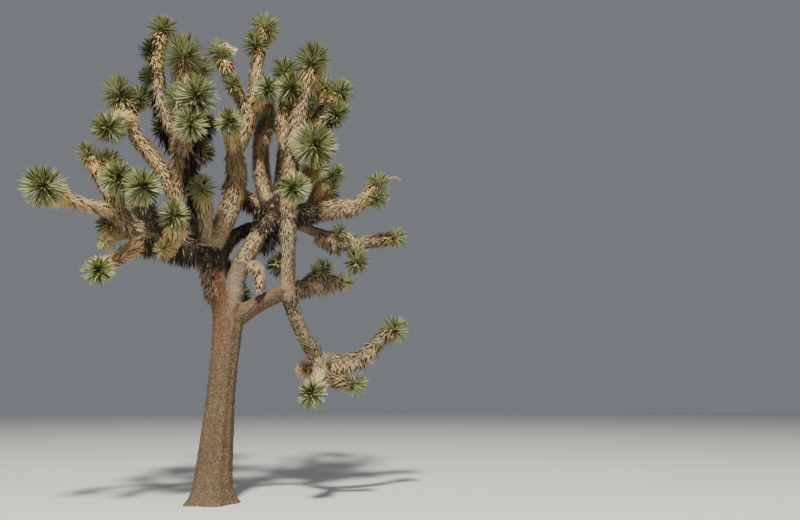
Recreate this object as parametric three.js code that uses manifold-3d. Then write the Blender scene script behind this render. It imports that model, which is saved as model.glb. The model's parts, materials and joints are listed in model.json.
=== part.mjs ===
// A Joshua tree in millimetres, with +Z up and the middle of its foot at the origin.
// +X runs to the right and +Y to the back as the tree is looked at from the front.
import * as THREE from "three";
import { mergeVertices } from "three/addons/utils/BufferGeometryUtils.js";
import Module from "manifold-3d";

const wasm = await Module();
wasm.setup();

// Clearances between neighbouring solids
const SEAT_GAP = 0.35;
const LEAF_CLEARANCE = 10;

// Fineness of the solids
const TRUNK_SIDES = 20;
const LIMB_SIDES = 8;
const TWIG_SIDES = 5;
const STALK_SIDES = 4;
const COURSE_STEPS = 24;
const RING_SPACING = 440;
const TWIG_RING_SPACING = 560;
const CORE_SECTORS = 7;
const SMALL_CORE_SECTORS = 6;
const SMALL_HEAD = 280;
const TUFT_SIZE = 172;
const CORE_BANDS = 4;
const TUFT_BANDS = 3;

// Trunk radii by height above the ground, from the root flare to the fork
const FLARE_HEIGHTS = [0, 70, 190, 420, 900, 1500, 2050, 2500, 2830];
const FLARE_RADII = [385, 330, 276, 246, 222, 206, 206, 214, 214];
const FLARE_LOBES = 5;
const FLARE_LOBE_DEPTH = 0.09;

// Ribs and furrows of the trunk's bark, and the slow swell beneath them
const FURROWS = 10;
const FURROW_DEPTH = 8;
const FURROW_CHANGE = 0.4;
const SWELL_DEPTH = 0.04;

// Rosettes of dagger leaves
const CORE_SHARE = 0.42;
const CORE_STRETCH = 1.15;
const LEAF_REACH = [1.02, 1.24];
const SHORTEST_LEAF_SHARE = 0.55;
const BARE_BACK_COSINE = -0.66;
const UPWARD_PULL = 0.35;

// Stems that carry the rosettes
const STEM_SHARE_OF_LIMB = 0.92;
const TWIG_THIN_SHARE_OF_HEAD = 0.28;
const FORK_SHARE = 0.42;
const FORK_THINNING = 0.85;
const TWIG_SHARE_OF_FORK = 0.82;
const TWIG_SHARE_STEP = 0.09;
const ROOT_SINK = 60;
const TWIG_SINK = 17;

// How much a limb swells and narrows along its length
const LUMP = 0.05;

// Colours of bark, dead leaves and live leaves
const BARK_BROWN = 0x6d5a48;
const BARK_TAN = 0x8a7358;
const STRAW = 0xa8854e;
const LEAF_GREEN = 0x5f6b3c;
const LEAF_BLUE = 0x55654c;

// Limbs: each one leaves another at a share of its length, then turns evenly
// from its first heading and climb (degrees) to its last.
const LIMBS = [
  { name: "trunk", from: null, at: 0, length: 2810, heading: [20, 15], climb: [88, 87], radius: [255, 208] },
  { name: "left_stem", from: "trunk", at: 0.9, length: 1200, heading: [-161, -186], climb: [64, 82], radius: [155, 150] },
  { name: "west_bough", from: "left_stem", at: 1, length: 730, heading: [-170, -160], climb: [-10, 30], radius: [145, 125] },
  { name: "west_arm", from: "west_bough", at: 1, length: 730, heading: [-152, -168], climb: [-28, 69], radius: [125, 110] },
  { name: "west_hand", from: "west_arm", at: 0.97, length: 690, heading: [-155, -162], climb: [-2, 13], radius: [75, 60] },
  { name: "west_low_arm", from: "west_arm", at: 0.25, length: 720, heading: [-143, -163], climb: [-56, -33], radius: [95, 70] },
  { name: "left_crown_stem", from: "west_bough", at: 0.6, length: 1560, heading: [-84, -185], climb: [83, 88], radius: [135, 130] },
  { name: "left_arm", from: "left_crown_stem", at: 0.32, length: 1350, heading: [-185, -207], climb: [68, 44], radius: [85, 85] },
  { name: "left_spire", from: "left_crown_stem", at: 1, length: 1140, heading: [131, 176], climb: [41, 86], radius: [95, 80] },
  { name: "middle_bough", from: "left_stem", at: 1, length: 1590, heading: [-20, 24], climb: [52, 106], radius: [155, 125] },
  { name: "middle_spire", from: "middle_bough", at: 1, length: 1470, heading: [-30, 71], climb: [62, 94], radius: [120, 75] },
  { name: "center_bough", from: "trunk", at: 1, length: 1540, heading: [-1, 10], climb: [85, 47], radius: [155, 125] },
  { name: "center_spire", from: "center_bough", at: 1, length: 1480, heading: [179, 78], climb: [65, 87], radius: [115, 100] },
  { name: "center_right_spire", from: "center_bough", at: 1, length: 1690, heading: [5, -22], climb: [75, 101], radius: [115, 95] },
  { name: "right_elbow", from: "trunk", at: 0.9, length: 990, heading: [-13, -19], climb: [36, 22], radius: [135, 120] },
  { name: "right_riser", from: "right_elbow", at: 1, length: 1360, heading: [101, 96], climb: [88, 79], radius: [110, 100] },
  { name: "right_spire", from: "right_riser", at: 1, length: 2080, heading: [14, -22], climb: [91, 76], radius: [128, 95] },
  { name: "east_bough", from: "right_riser", at: 0.9, length: 1160, heading: [34, -25], climb: [20, 4], radius: [130, 105] },
  { name: "back_bough", from: "left_stem", at: 0.5, length: 2100, heading: [84, -17], climb: [84, -9], radius: [125, 75] },
  { name: "back_bough_end", from: "back_bough", at: 1, length: 810, heading: [-4, -35], climb: [-24, -24], radius: [75, 120] },
  { name: "drooping_bough", from: "right_elbow", at: 1, length: 1130, heading: [-2, 17], climb: [-77, -48], radius: [95, 95] },
  { name: "drooping_arm", from: "drooping_bough", at: 1, length: 1150, heading: [7, 18], climb: [-16, 52], radius: [95, 80] },
  { name: "hanging_stub", from: "center_bough", at: 0.35, length: 760, heading: [-9, -110], climb: [41, -112], radius: [75, 75] },
  { name: "back_left_bough", from: "left_stem", at: 0.8, length: 2690, heading: [119, 113], climb: [48, 74], radius: [120, 85] },
  { name: "back_right_bough", from: "center_bough", at: 0.7, length: 2420, heading: [49, 81], climb: [38, 78], radius: [125, 90] },
];

// Masses: each one's stem leaves a limb at a share of its length, and each rosette
// is given by how far its middle lies from there (right, back, up) and by its radius.
const MASSES = [
  { name: "far_left_head", on: "west_hand", at: 1, heads: [[-150, -570, 0, 250]] },
  { name: "left_finger", on: "west_arm", at: 0.97, heads: [[-510, 160, 890, 160]] },
  { name: "left_shoulder", on: "west_arm", at: 0.9, heads: [[60, -820, 290, 220], [-290, 410, 880, 210]] },
  { name: "left_star", on: "west_bough", at: 0.97, heads: [[-150, -1330, 290, 220]] },
  { name: "left_stub", on: "west_arm", at: 0.35, heads: [[-550, 560, 240, 180], [-490, -40, -170, 130]] },
  { name: "low_left_head", on: "west_low_arm", at: 1, heads: [[-30, -510, -190, 180]] },
  { name: "left_back_heads", on: "west_bough", at: 0.9,
    heads: [[-300, 480, 420, 180], [-630, 1770, 890, 220], [-180, 1630, 600, 220]] },
  { name: "dusty_head", on: "west_bough", at: 0.65,
    heads: [[10, -1030, 130, 200], [-120, -670, -300, 140]] },
  { name: "inner_head", on: "left_stem", at: 1, heads: [[-130, -630, 720, 200]] },
  { name: "left_arm_heads", on: "left_arm", at: 1,
    heads: [[-300, -50, 700, 260], [-20, 250, 780, 200], [-360, -350, -10, 230]] },
  { name: "left_spire_heads", on: "left_spire", at: 1,
    heads: [[-10, 100, 1000, 220], [-140, 50, 570, 190], [-140, 50, 110, 190]] },
  { name: "left_top_heads", on: "left_crown_stem", at: 0.97,
    heads: [[-40, -140, 1380, 320], [170, 360, 1400, 240]] },
  { name: "left_front_heads", on: "left_crown_stem", at: 0.85,
    heads: [[240, -1170, 470, 260], [-40, -660, 600, 210], [190, -1320, -40, 210]] },
  { name: "left_shade_heads", on: "left_crown_stem", at: 0.7,
    heads: [[300, 550, 960, 210], [280, 450, 460, 210], [-370, 930, 1020, 200]] },
  { name: "back_left_heads", on: "back_left_bough", at: 1,
    heads: [[-60, 970, 1310, 300], [-340, 1260, 1000, 290], [200, 750, 650, 260]] },
  { name: "middle_top_heads", on: "middle_spire", at: 1, heads: [[120, 210, 870, 230], [-50, 10, 440, 210]] },
  { name: "middle_left_heads", on: "middle_spire", at: 0.35,
    heads: [[-480, -150, 1060, 200], [-270, -200, 540, 180]], stalks: [[190, 40, 150]] },
  { name: "middle_low_head", on: "middle_bough", at: 0.95, heads: [[-110, -630, 310, 200]] },
  { name: "middle_right_head", on: "middle_spire", at: 0.5, heads: [[200, -590, 130, 190]] },
  { name: "center_head", on: "center_spire", at: 1, heads: [[150, 500, 510, 210], [20, 1080, 1210, 250]] },
  { name: "crossing_head", on: "center_spire", at: 0.06, heads: [[-690, 440, 500, 140]] },
  { name: "center_right_heads", on: "center_right_spire", at: 1,
    heads: [[20, 130, 960, 220], [90, -270, 470, 240]] },
  { name: "right_top_head", on: "right_spire", at: 1, heads: [[80, -50, 460, 290]] },
  { name: "right_star", on: "right_spire", at: 0.45, heads: [[220, -1030, -270, 300]] },
  { name: "right_outer_heads", on: "right_spire", at: 0.4,
    heads: [[750, 150, 910, 230], [890, 710, 1580, 230], [660, 1210, 1850, 220]] },
  { name: "right_hook_heads", on: "right_riser", at: 0.97, heads: [[410, 60, 750, 210], [-20, -1030, 30, 210]] },
  { name: "east_shade_heads", on: "east_bough", at: 0.3, heads: [[450, 140, 720, 210], [410, 810, 610, 240]] },
  { name: "east_end_heads", on: "east_bough", at: 1,
    heads: [[370, -50, 410, 200], [340, -200, 100, 180]], stalks: [[330, -20, 70]] },
  { name: "back_bough_heads", on: "back_bough_end", at: 1,
    heads: [[910, -50, 150, 170], [-80, -150, 180, 130], [200, -200, -360, 190]] },
  { name: "elbow_heads", on: "right_elbow", at: 0.95,
    heads: [[1020, 590, 320, 160], [640, 490, 480, 180], [250, 290, 90, 140]] },
  { name: "riser_head", on: "right_riser", at: 0.4, heads: [[-130, 370, -90, 170]] },
  { name: "crotch_head", on: "back_bough", at: 0.2, heads: [[380, 640, -450, 160]] },
  { name: "drooping_heads", on: "drooping_bough", at: 1,
    heads: [[-180, -600, -510, 190], [550, -170, -370, 180], [-190, 230, -130, 140]] },
  { name: "droop_end_head", on: "drooping_arm", at: 1, heads: [[270, 110, 190, 220]] },
  { name: "back_right_heads", on: "back_right_bough", at: 1,
    heads: [[70, 1020, 1140, 290], [360, 510, 1080, 270], [570, 1020, 570, 270]] },
];

// A random number between 0 and 1 that depends only on two whole numbers.
function chance(seed, index) {
  const wave = Math.sin(seed * 127.1 + index * 311.7 + 17.3) * 43758.5453;
  return wave - Math.floor(wave);
}

// The unit vector of a heading and a climb in degrees.
function bearing(heading, climb) {
  const h = THREE.MathUtils.degToRad(heading);
  const c = THREE.MathUtils.degToRad(climb);
  return new THREE.Vector3(Math.cos(c) * Math.cos(h), Math.cos(c) * Math.sin(h), Math.sin(c));
}

// A centre line stored as short straight steps.
class Course extends THREE.Curve {
  constructor(points) {
    super();
    this.points = points;
  }

  getPoint(share, target = new THREE.Vector3()) {
    const steps = this.points.length - 1;
    const place = THREE.MathUtils.clamp(share, 0, 1) * steps;
    const first = Math.min(Math.floor(place), steps - 1);
    return target.lerpVectors(this.points[first], this.points[first + 1], place - first);
  }

  direction(share) {
    const ahead = this.getPoint(Math.min(share + 0.03, 1));
    const behind = this.getPoint(Math.max(share - 0.03, 0));
    return ahead.sub(behind).normalize();
  }

  span() {
    let total = 0;
    for (let i = 1; i < this.points.length; i += 1) {
      total += this.points[i].distanceTo(this.points[i - 1]);
    }
    return total;
  }
}

// The centre line of a limb that turns evenly in heading and in climb.
function turningCourse(start, length, heading, climb) {
  const points = [start.clone()];
  for (let i = 0; i < COURSE_STEPS; i += 1) {
    const share = (i + 0.5) / COURSE_STEPS;
    const step = bearing(
      THREE.MathUtils.lerp(heading[0], heading[1], share),
      THREE.MathUtils.lerp(climb[0], climb[1], share),
    );
    points.push(points[i].clone().addScaledVector(step, length / COURSE_STEPS));
  }
  return new Course(points);
}

// The centre line of a twig: it leaves along one direction and ends at a given point.
function bowedCourse(start, leaving, end) {
  const reach = start.distanceTo(end);
  const control = start.clone().addScaledVector(leaving, reach * 0.45);
  const bow = new THREE.QuadraticBezierCurve3(start, control, end);
  return new Course(bow.getPoints(8));
}

// A closed mesh of three.js as a solid.
function solidFrom(geometry) {
  const bare = geometry.clone();
  bare.deleteAttribute("normal");
  bare.deleteAttribute("uv");
  const merged = mergeVertices(bare, 1e-3);
  const mesh = new wasm.Mesh({
    numProp: 3,
    vertProperties: new Float32Array(merged.attributes.position.array),
    triVerts: new Uint32Array(merged.index.array),
  });
  return new wasm.Manifold(mesh);
}

// A solid as a geometry of three.js.
function geometryFrom(solid) {
  const mesh = solid.getMesh();
  const geometry = new THREE.BufferGeometry();
  geometry.setAttribute("position", new THREE.BufferAttribute(new Float32Array(mesh.vertProperties), 3));
  geometry.setIndex(new THREE.BufferAttribute(new Uint32Array(mesh.triVerts), 1));
  geometry.computeVertexNormals();
  return geometry;
}

// A closed cylinder bent along a centre line, with a radius for each share of its length and each angle.
// Its rings face along the line, or all along one given direction.
function bentTube(course, radiusAt, sides, rings, grow, facing = null) {
  const tube = new THREE.CylinderGeometry(1, 1, 1, sides, rings);
  const places = tube.attributes.position;
  const reference = new THREE.Vector3(0.31, -0.92, 0.24);
  const vertex = new THREE.Vector3();
  for (let i = 0; i < places.count; i += 1) {
    vertex.fromBufferAttribute(places, i);
    const share = vertex.y + 0.5;
    const forward = facing || course.direction(share);
    const across = reference.clone().addScaledVector(forward, -reference.dot(forward)).normalize();
    const sideways = new THREE.Vector3().crossVectors(across, forward);
    const radius = radiusAt(share, Math.atan2(vertex.z, vertex.x)) + grow / Math.cos(Math.PI / sides);
    const centre = course.getPoint(share);
    if (share < 1e-6) centre.addScaledVector(forward, -grow);
    if (share > 1 - 1e-6) centre.addScaledVector(forward, grow);
    centre.addScaledVector(across, vertex.x * radius).addScaledVector(sideways, vertex.z * radius);
    places.setXYZ(i, centre.x, centre.y, centre.z);
  }
  return solidFrom(tube);
}

// The radius of a limb, a little uneven along its length.
function limbRadius(limb, seed) {
  return (share) => {
    const even = THREE.MathUtils.lerp(limb.radius[0], limb.radius[1], share);
    const ends = Math.sin(Math.PI * share);
    return even * (1 + LUMP * ends * Math.sin(share * 9 + seed * 2.3));
  };
}

// The radius of one ring of the trunk at an angle: the lobes of the root flare, the swell and the furrows.
function trunkRadius(ring, angle) {
  const flare = Math.exp(-FLARE_HEIGHTS[ring] / 180);
  const lobes = FLARE_LOBE_DEPTH * flare * Math.sin(FLARE_LOBES * angle + 0.8);
  const swell = SWELL_DEPTH * (1 - flare) * Math.sin(2 * angle + ring * 1.3);
  const depth = FURROW_DEPTH * (1 + FURROW_CHANGE * Math.sin(ring * 2.1));
  return FLARE_RADII[ring] * (1 + lobes + swell) + depth * Math.cos(FURROWS * angle);
}

// The trunk has its rings at the heights of the flare, all of them level.
function trunkTube(course, grow) {
  const rings = FLARE_HEIGHTS.length - 1;
  const full = FLARE_HEIGHTS[rings];
  const stations = FLARE_HEIGHTS.map((height) => course.getPoint(height / full));
  stations.forEach((point, i) => { point.z = FLARE_HEIGHTS[i]; });
  const radiusAt = (share, angle) => trunkRadius(Math.round(share * rings), angle);
  return bentTube(new Course(stations), radiusAt, TRUNK_SIDES, rings, grow, new THREE.Vector3(0, 0, 1));
}

// The part of a solid that holds most of its volume.
function largestPiece(solid) {
  const pieces = solid.decompose();
  return pieces.reduce((best, piece) => (piece.volume() > best.volume() ? piece : best));
}

// Whether the boxes of two solids come near each other.
function boxesMeet(first, second) {
  const a = first.boundingBox();
  const b = second.boundingBox();
  return [0, 1, 2].every((k) => a.min[k] < b.max[k] + 1 && b.min[k] < a.max[k] + 1);
}

// Every limb, cut clear of those before it
const limbs = new Map();
LIMBS.forEach((limb, index) => {
  const parent = limb.from ? limbs.get(limb.from) : null;
  const start = parent ? parent.course.getPoint(limb.at) : new THREE.Vector3();
  const course = turningCourse(start, limb.length, limb.heading, limb.climb);
  const rings = Math.max(3, Math.round(limb.length / RING_SPACING));
  const shape = (grow) => {
    if (!parent) return trunkTube(course, grow);
    return bentTube(course, limbRadius(limb, index), LIMB_SIDES, rings, grow);
  };
  let solid = shape(0);
  for (const other of limbs.values()) {
    if (boxesMeet(solid, other.grown)) solid = solid.subtract(other.grown);
  }
  limbs.set(limb.name, { ...limb, course, solid: largestPiece(solid), grown: shape(SEAT_GAP) });
});

// Short stretches of limbs and stems, which leaves keep clear of
function stretches(course, radius, owner) {
  const list = [];
  const parts = 8;
  for (let i = 0; i < parts; i += 1) {
    const line = new THREE.Line3(course.getPoint(i / parts), course.getPoint((i + 1) / parts));
    list.push({ line, radius: Math.max(radius(i / parts), radius((i + 1) / parts)), owner });
  }
  return list;
}

const obstacles = [];
for (const limb of limbs.values()) {
  const radius = (share) => (limb.from
    ? THREE.MathUtils.lerp(limb.radius[0], limb.radius[1], share) * (1 + LUMP)
    : FLARE_RADII[Math.round(share * (FLARE_RADII.length - 1))]);
  obstacles.push(...stretches(limb.course, radius, limb.name));
}

// The stems of a mass: one from the limb to a fork, then one to each rosette
const plans = MASSES.map((mass, index) => {
  const limb = limbs.get(mass.on);
  const root = limb.course.getPoint(mass.at);
  const along = limb.course.direction(mass.at);
  const limbThickness = THREE.MathUtils.lerp(limb.radius[0], limb.radius[1], mass.at);
  const thick = limbThickness * (mass.at > 0.95 ? STEM_SHARE_OF_LIMB : 0.66);
  const centres = mass.heads.map((head) => root.clone().add(new THREE.Vector3(head[0], head[1], head[2])));
  const middle = centres.reduce((sum, c) => sum.add(c), new THREE.Vector3()).divideScalar(centres.length);
  const outward = middle.clone().sub(root).normalize();
  const leaving = along.clone().multiplyScalar(0.5).add(outward).normalize();
  const tubes = [];
  let fork = root;
  let forkRadius = thick;
  let forkDirection = leaving;
  if (centres.length > 1) {
    const nearest = Math.min(...centres.map((c) => c.distanceTo(root)));
    const reach = Math.min(middle.distanceTo(root) * FORK_SHARE, nearest * 0.7);
    const sway = new THREE.Vector3(chance(index, 1) - 0.5, chance(index, 2) - 0.5, chance(index, 3) - 0.2);
    fork = root.clone().addScaledVector(outward, reach).addScaledVector(sway, reach * 0.2);
    forkRadius = thick * FORK_THINNING;
    const first = bowedCourse(root.clone().addScaledVector(leaving, -ROOT_SINK), leaving, fork);
    tubes.push({ course: first, radius: [thick, forkRadius] });
    forkDirection = first.direction(1);
  }
  const heads = centres.map((centre, k) => {
    const sink = centres.length > 1 ? TWIG_SINK * (k + 1) : ROOT_SINK;
    const start = fork.clone().addScaledVector(forkDirection, -sink);
    const course = bowedCourse(start, forkDirection, centre);
    const thin = mass.heads[k][3] * TWIG_THIN_SHARE_OF_HEAD;
    tubes.push({ course, radius: [forkRadius * (TWIG_SHARE_OF_FORK - TWIG_SHARE_STEP * k), thin] });
    const axis = course.direction(1).add(new THREE.Vector3(0, 0, UPWARD_PULL)).normalize();
    return { centre, axis, radius: mass.heads[k][3], seed: index * 10 + k };
  });
  for (const tube of tubes) {
    const radius = (share) => THREE.MathUtils.lerp(tube.radius[0], tube.radius[1], share);
    obstacles.push(...stretches(tube.course, radius, mass.name));
  }
  return { ...mass, tubes, heads };
});
const allHeads = plans.flatMap((plan) => plan.heads.map((head) => ({ ...head, owner: plan.name })));

// How far a leaf may reach from the middle of its rosette before it leaves its own space
function freeReach(head, owner, direction, wanted) {
  let reach = wanted;
  for (const other of allHeads) {
    const apart = other.centre.clone().sub(head.centre);
    const distance = apart.length();
    if (distance < 1 || distance > head.radius + other.radius) continue;
    const toward = direction.dot(apart) / distance;
    const border = distance * head.radius / (head.radius + other.radius) - LEAF_CLEARANCE;
    if (toward > 0) reach = Math.min(reach, border / toward);
  }
  const nearby = obstacles.filter((piece) => piece.owner !== owner);
  const nearest = new THREE.Vector3();
  const point = new THREE.Vector3();
  for (let share = CORE_SHARE + 0.06; share <= 1.001; share += 0.11) {
    const length = wanted * share;
    if (length > reach) break;
    point.copy(head.centre).addScaledVector(direction, length);
    const halfWidth = 34 * (1 - share) * (head.radius / 200);
    for (const piece of nearby) {
      piece.line.closestPointToPoint(point, true, nearest);
      if (nearest.distanceTo(point) < piece.radius + LEAF_CLEARANCE + halfWidth) {
        return Math.min(reach, length - wanted * 0.11);
      }
    }
  }
  return reach;
}

// A rosette: a core whose faces are each drawn out into a pointed leaf, except where it would not fit
function rosette(head, owner) {
  const sectors = head.radius < SMALL_HEAD ? SMALL_CORE_SECTORS : CORE_SECTORS;
  const bands = head.radius < TUFT_SIZE ? TUFT_BANDS : CORE_BANDS;
  const core = new THREE.SphereGeometry(1, sectors, bands);
  core.deleteAttribute("normal");
  core.deleteAttribute("uv");
  const merged = mergeVertices(core, 1e-4);
  const turn = new THREE.Quaternion().setFromUnitVectors(new THREE.Vector3(0, 1, 0), head.axis);
  const spin = new THREE.Quaternion().setFromAxisAngle(head.axis, chance(head.seed, 5) * Math.PI);
  turn.premultiply(spin);
  const small = head.radius * CORE_SHARE;
  const points = [];
  for (let i = 0; i < merged.attributes.position.count; i += 1) {
    const point = new THREE.Vector3().fromBufferAttribute(merged.attributes.position, i);
    point.multiplyScalar(small);
    point.y *= CORE_STRETCH;
    points.push(point.applyQuaternion(turn).add(head.centre));
  }
  const faces = Array.from(merged.index.array);
  const drawn = [];
  for (let i = 0; i < faces.length; i += 3) {
    const [a, b, c] = faces.slice(i, i + 3);
    const base = points[a].clone().add(points[b]).add(points[c]).divideScalar(3);
    const direction = base.clone().sub(head.centre).normalize();
    const wanted = head.radius * THREE.MathUtils.lerp(LEAF_REACH[0], LEAF_REACH[1], chance(head.seed, i + 11));
    const sway = new THREE.Vector3(
      chance(head.seed, i + 40) - 0.5,
      chance(head.seed, i + 80) - 0.5,
      chance(head.seed, i + 120) - 0.5,
    );
    direction.addScaledVector(sway, 0.22).normalize();
    const reach = freeReach(head, owner, direction, wanted);
    const fits = reach > wanted * SHORTEST_LEAF_SHARE && direction.dot(head.axis) > BARE_BACK_COSINE;
    if (!fits) {
      drawn.push(a, b, c);
      continue;
    }
    const tip = points.length;
    points.push(head.centre.clone().addScaledVector(direction, reach));
    drawn.push(a, b, tip, b, c, tip, c, a, tip);
  }
  const geometry = new THREE.BufferGeometry();
  const flat = points.flatMap((point) => point.toArray());
  geometry.setAttribute("position", new THREE.BufferAttribute(new Float32Array(flat), 3));
  geometry.setIndex(drawn);
  return solidFrom(geometry);
}

// A dried flower stalk: a slim cone that stands out of a rosette
function stalk(head, lean) {
  const direction = new THREE.Vector3(lean[0], lean[1], lean[2]);
  const end = head.centre.clone().add(direction);
  const course = new Course([head.centre.clone(), end]);
  return bentTube(course, (share) => THREE.MathUtils.lerp(16, 9, share), STALK_SIDES, 1, 0);
}

// The stems of a mass as solids, each a little wider by a clearance
function stemSolids(plan, grow) {
  return plan.tubes.map((tube) => {
    const radiusAt = (share) => THREE.MathUtils.lerp(tube.radius[0], tube.radius[1], share);
    const rings = Math.max(1, Math.round(tube.course.span() / TWIG_RING_SPACING));
    const facing = tube.course.getPoint(1).sub(tube.course.getPoint(0)).normalize();
    return bentTube(tube.course, radiusAt, TWIG_SIDES, rings, grow, facing);
  });
}

// Every mass, fused from its stems, rosettes and stalks and cut clear of the limbs and of earlier stems
const earlierStems = [];
const masses = plans.map((plan) => {
  const pieces = [
    ...stemSolids(plan, 0),
    ...plan.heads.map((head) => rosette(head, plan.name)),
    ...(plan.stalks || []).map((lean, k) => stalk(plan.heads[k], lean)),
  ];
  let solid = pieces.reduce((whole, piece) => whole.add(piece));
  const neighbours = [...limbs.values()].map((limb) => limb.grown).concat(earlierStems);
  for (const other of neighbours) {
    if (boxesMeet(solid, other)) solid = solid.subtract(other);
  }
  earlierStems.push(...stemSolids(plan, SEAT_GAP));
  return { name: plan.name, solid: largestPiece(solid) };
});

// A material of its own for each solid
function finish(colour, seed, roughness) {
  const shade = new THREE.Color(colour);
  const lighter = (chance(seed, 3) - 0.5) * 0.08;
  shade.offsetHSL((chance(seed, 4) - 0.5) * 0.02, 0, lighter);
  return new THREE.MeshStandardMaterial({ color: shade, roughness, metalness: 0, flatShading: true });
}

const tree = new THREE.Group();
[...limbs.values()].forEach((limb, index) => {
  const young = limb.radius[1] < 100;
  const colour = index === 0 ? BARK_BROWN : young ? STRAW : BARK_TAN;
  const mesh = new THREE.Mesh(geometryFrom(limb.solid), finish(colour, index, 0.92));
  mesh.name = limb.name;
  tree.add(mesh);
});
masses.forEach((mass, index) => {
  const colour = index % 2 === 0 ? LEAF_GREEN : LEAF_BLUE;
  const mesh = new THREE.Mesh(geometryFrom(mass.solid), finish(colour, index + 50, 0.7));
  mesh.name = mass.name;
  tree.add(mesh);
});

export default tree;
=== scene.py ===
"""A Joshua tree: bark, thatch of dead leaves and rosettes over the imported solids, in metres."""

import itertools
import json
import logging
import math
from dataclasses import dataclass, field
from enum import Enum

import bmesh
import bpy
import numpy as np
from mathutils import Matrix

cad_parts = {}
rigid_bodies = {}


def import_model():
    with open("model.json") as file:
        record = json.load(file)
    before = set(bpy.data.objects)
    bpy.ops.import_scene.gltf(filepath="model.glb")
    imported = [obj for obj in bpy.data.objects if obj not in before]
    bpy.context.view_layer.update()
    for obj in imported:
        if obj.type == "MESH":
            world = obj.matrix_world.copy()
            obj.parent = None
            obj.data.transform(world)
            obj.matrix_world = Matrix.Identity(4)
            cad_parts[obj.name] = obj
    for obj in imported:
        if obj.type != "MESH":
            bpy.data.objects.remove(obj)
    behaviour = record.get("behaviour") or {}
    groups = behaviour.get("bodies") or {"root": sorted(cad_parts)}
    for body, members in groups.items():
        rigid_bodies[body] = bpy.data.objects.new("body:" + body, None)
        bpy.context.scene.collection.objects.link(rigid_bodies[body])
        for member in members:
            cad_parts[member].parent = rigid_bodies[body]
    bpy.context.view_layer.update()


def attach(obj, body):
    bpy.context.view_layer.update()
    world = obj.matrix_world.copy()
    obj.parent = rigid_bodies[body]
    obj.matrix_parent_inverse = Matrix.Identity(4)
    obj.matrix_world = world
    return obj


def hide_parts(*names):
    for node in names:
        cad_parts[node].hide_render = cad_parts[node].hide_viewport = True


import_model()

LOG = logging.getLogger("joshua_tree")

MM = 0.001
FULL_TURN = 2 * math.pi
GOLDEN_ANGLE = math.radians(137.508)
COURSE_STEPS = 24
TRUNK_TOP = 2.83

# Where the dead leaves start on a limb that has none, as a share of its length.
BARE = 2.0

# Seeds of the random draws, to which the number of the limb, stem, rosette, shag or stalk is added.
LIMB_SEED = 700
STEM_SEED = 900
HEAD_SEED = 1000
SKIRT_SEED = 1100
SHAG_SEED = 1300
STALK_SEED = 1500

Vector = tuple[float, float, float]
Shape = tuple[np.ndarray, list[np.ndarray]]
Socket = bpy.types.NodeSocket


class Skin(Enum):
    """What the bark of a limb is like."""

    CORKY = "corky"
    SMOOTH = "smooth"
    FLAKED = "flaked"


class Straw(Enum):
    """The colour of the dead leaves along a limb."""

    GOLD = "gold"
    TAN = "tan"
    GREY = "grey"
    # Near-black straw, painted shadow where the dead leaves lie in shade.
    DARK = "dark"


class LeafKind(Enum):
    """The colours that leaves and husks are dealt out in."""

    FRESH = "fresh"
    # Dark green of painted shade, for leaves that lie in shadow.
    SHADE = "shade"
    DEEP = "deep"
    OLIVE = "olive"
    PALE = "pale"
    GOLD = "gold"
    STRAW = "straw"
    GREY = "grey"
    # Near-black straw, painted shade among the dead leaves.
    DARK = "dark"
    CREAM = "cream"
    ROSE = "rose"


@dataclass(frozen=True)
class LimbSize:
    """Sizes of one limb, in millimetres and degrees, and how it is covered."""

    name: str
    parent: str
    at: float
    length: float
    heading: tuple[float, float]
    climb: tuple[float, float]
    radius: tuple[float, float]
    straw: Straw = Straw.TAN
    thatch_from: float = BARE
    skin: Skin = Skin.FLAKED


@dataclass(frozen=True)
class MassSize:
    """Where a mass of leaves leaves its limb, and its rosettes: right, back, up and radius."""

    name: str
    limb: str
    at: float
    heads: tuple[tuple[float, float, float, float], ...]
    straw: Straw = Straw.TAN
    dryness: float = 0.0
    # Rosettes whose green leaves all get the dark green of painted shade.
    shaded: tuple[int, ...] = ()
    withered: tuple[int, ...] = ()


@dataclass(frozen=True)
class ShagSize:
    """A shag of dead leaves that hangs from one side of a limb, in metres.

    Attributes:
        limb: The limb, or the mass whose stems carry it.
        stretch: Shares of its length where the shag starts and ends.
        side: The side that it hangs from.
        straw: Its colour.
        length: Its shortest and longest leaf.
        density: Leaves on a square metre.
    """

    limb: str
    stretch: tuple[float, float]
    side: Vector
    straw: Straw
    length: tuple[float, float]
    density: float


@dataclass(frozen=True)
class StalkSize:
    """A flower stalk in a rosette, in metres.

    Attributes:
        mass: The mass that it stands in.
        head: Which of its rosettes.
        start: Where it starts, from the rosette's middle.
        reach: Where it ends, from the rosette's middle.
        kind: Its colour.
        husks: How many dry husks it carries.
        husk: Length and width of a husk.
        spread: How far the husks stand out of its line.
    """

    mass: str
    head: int
    start: Vector
    reach: Vector
    kind: LeafKind
    husks: int
    husk: tuple[float, float]
    spread: float


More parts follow.
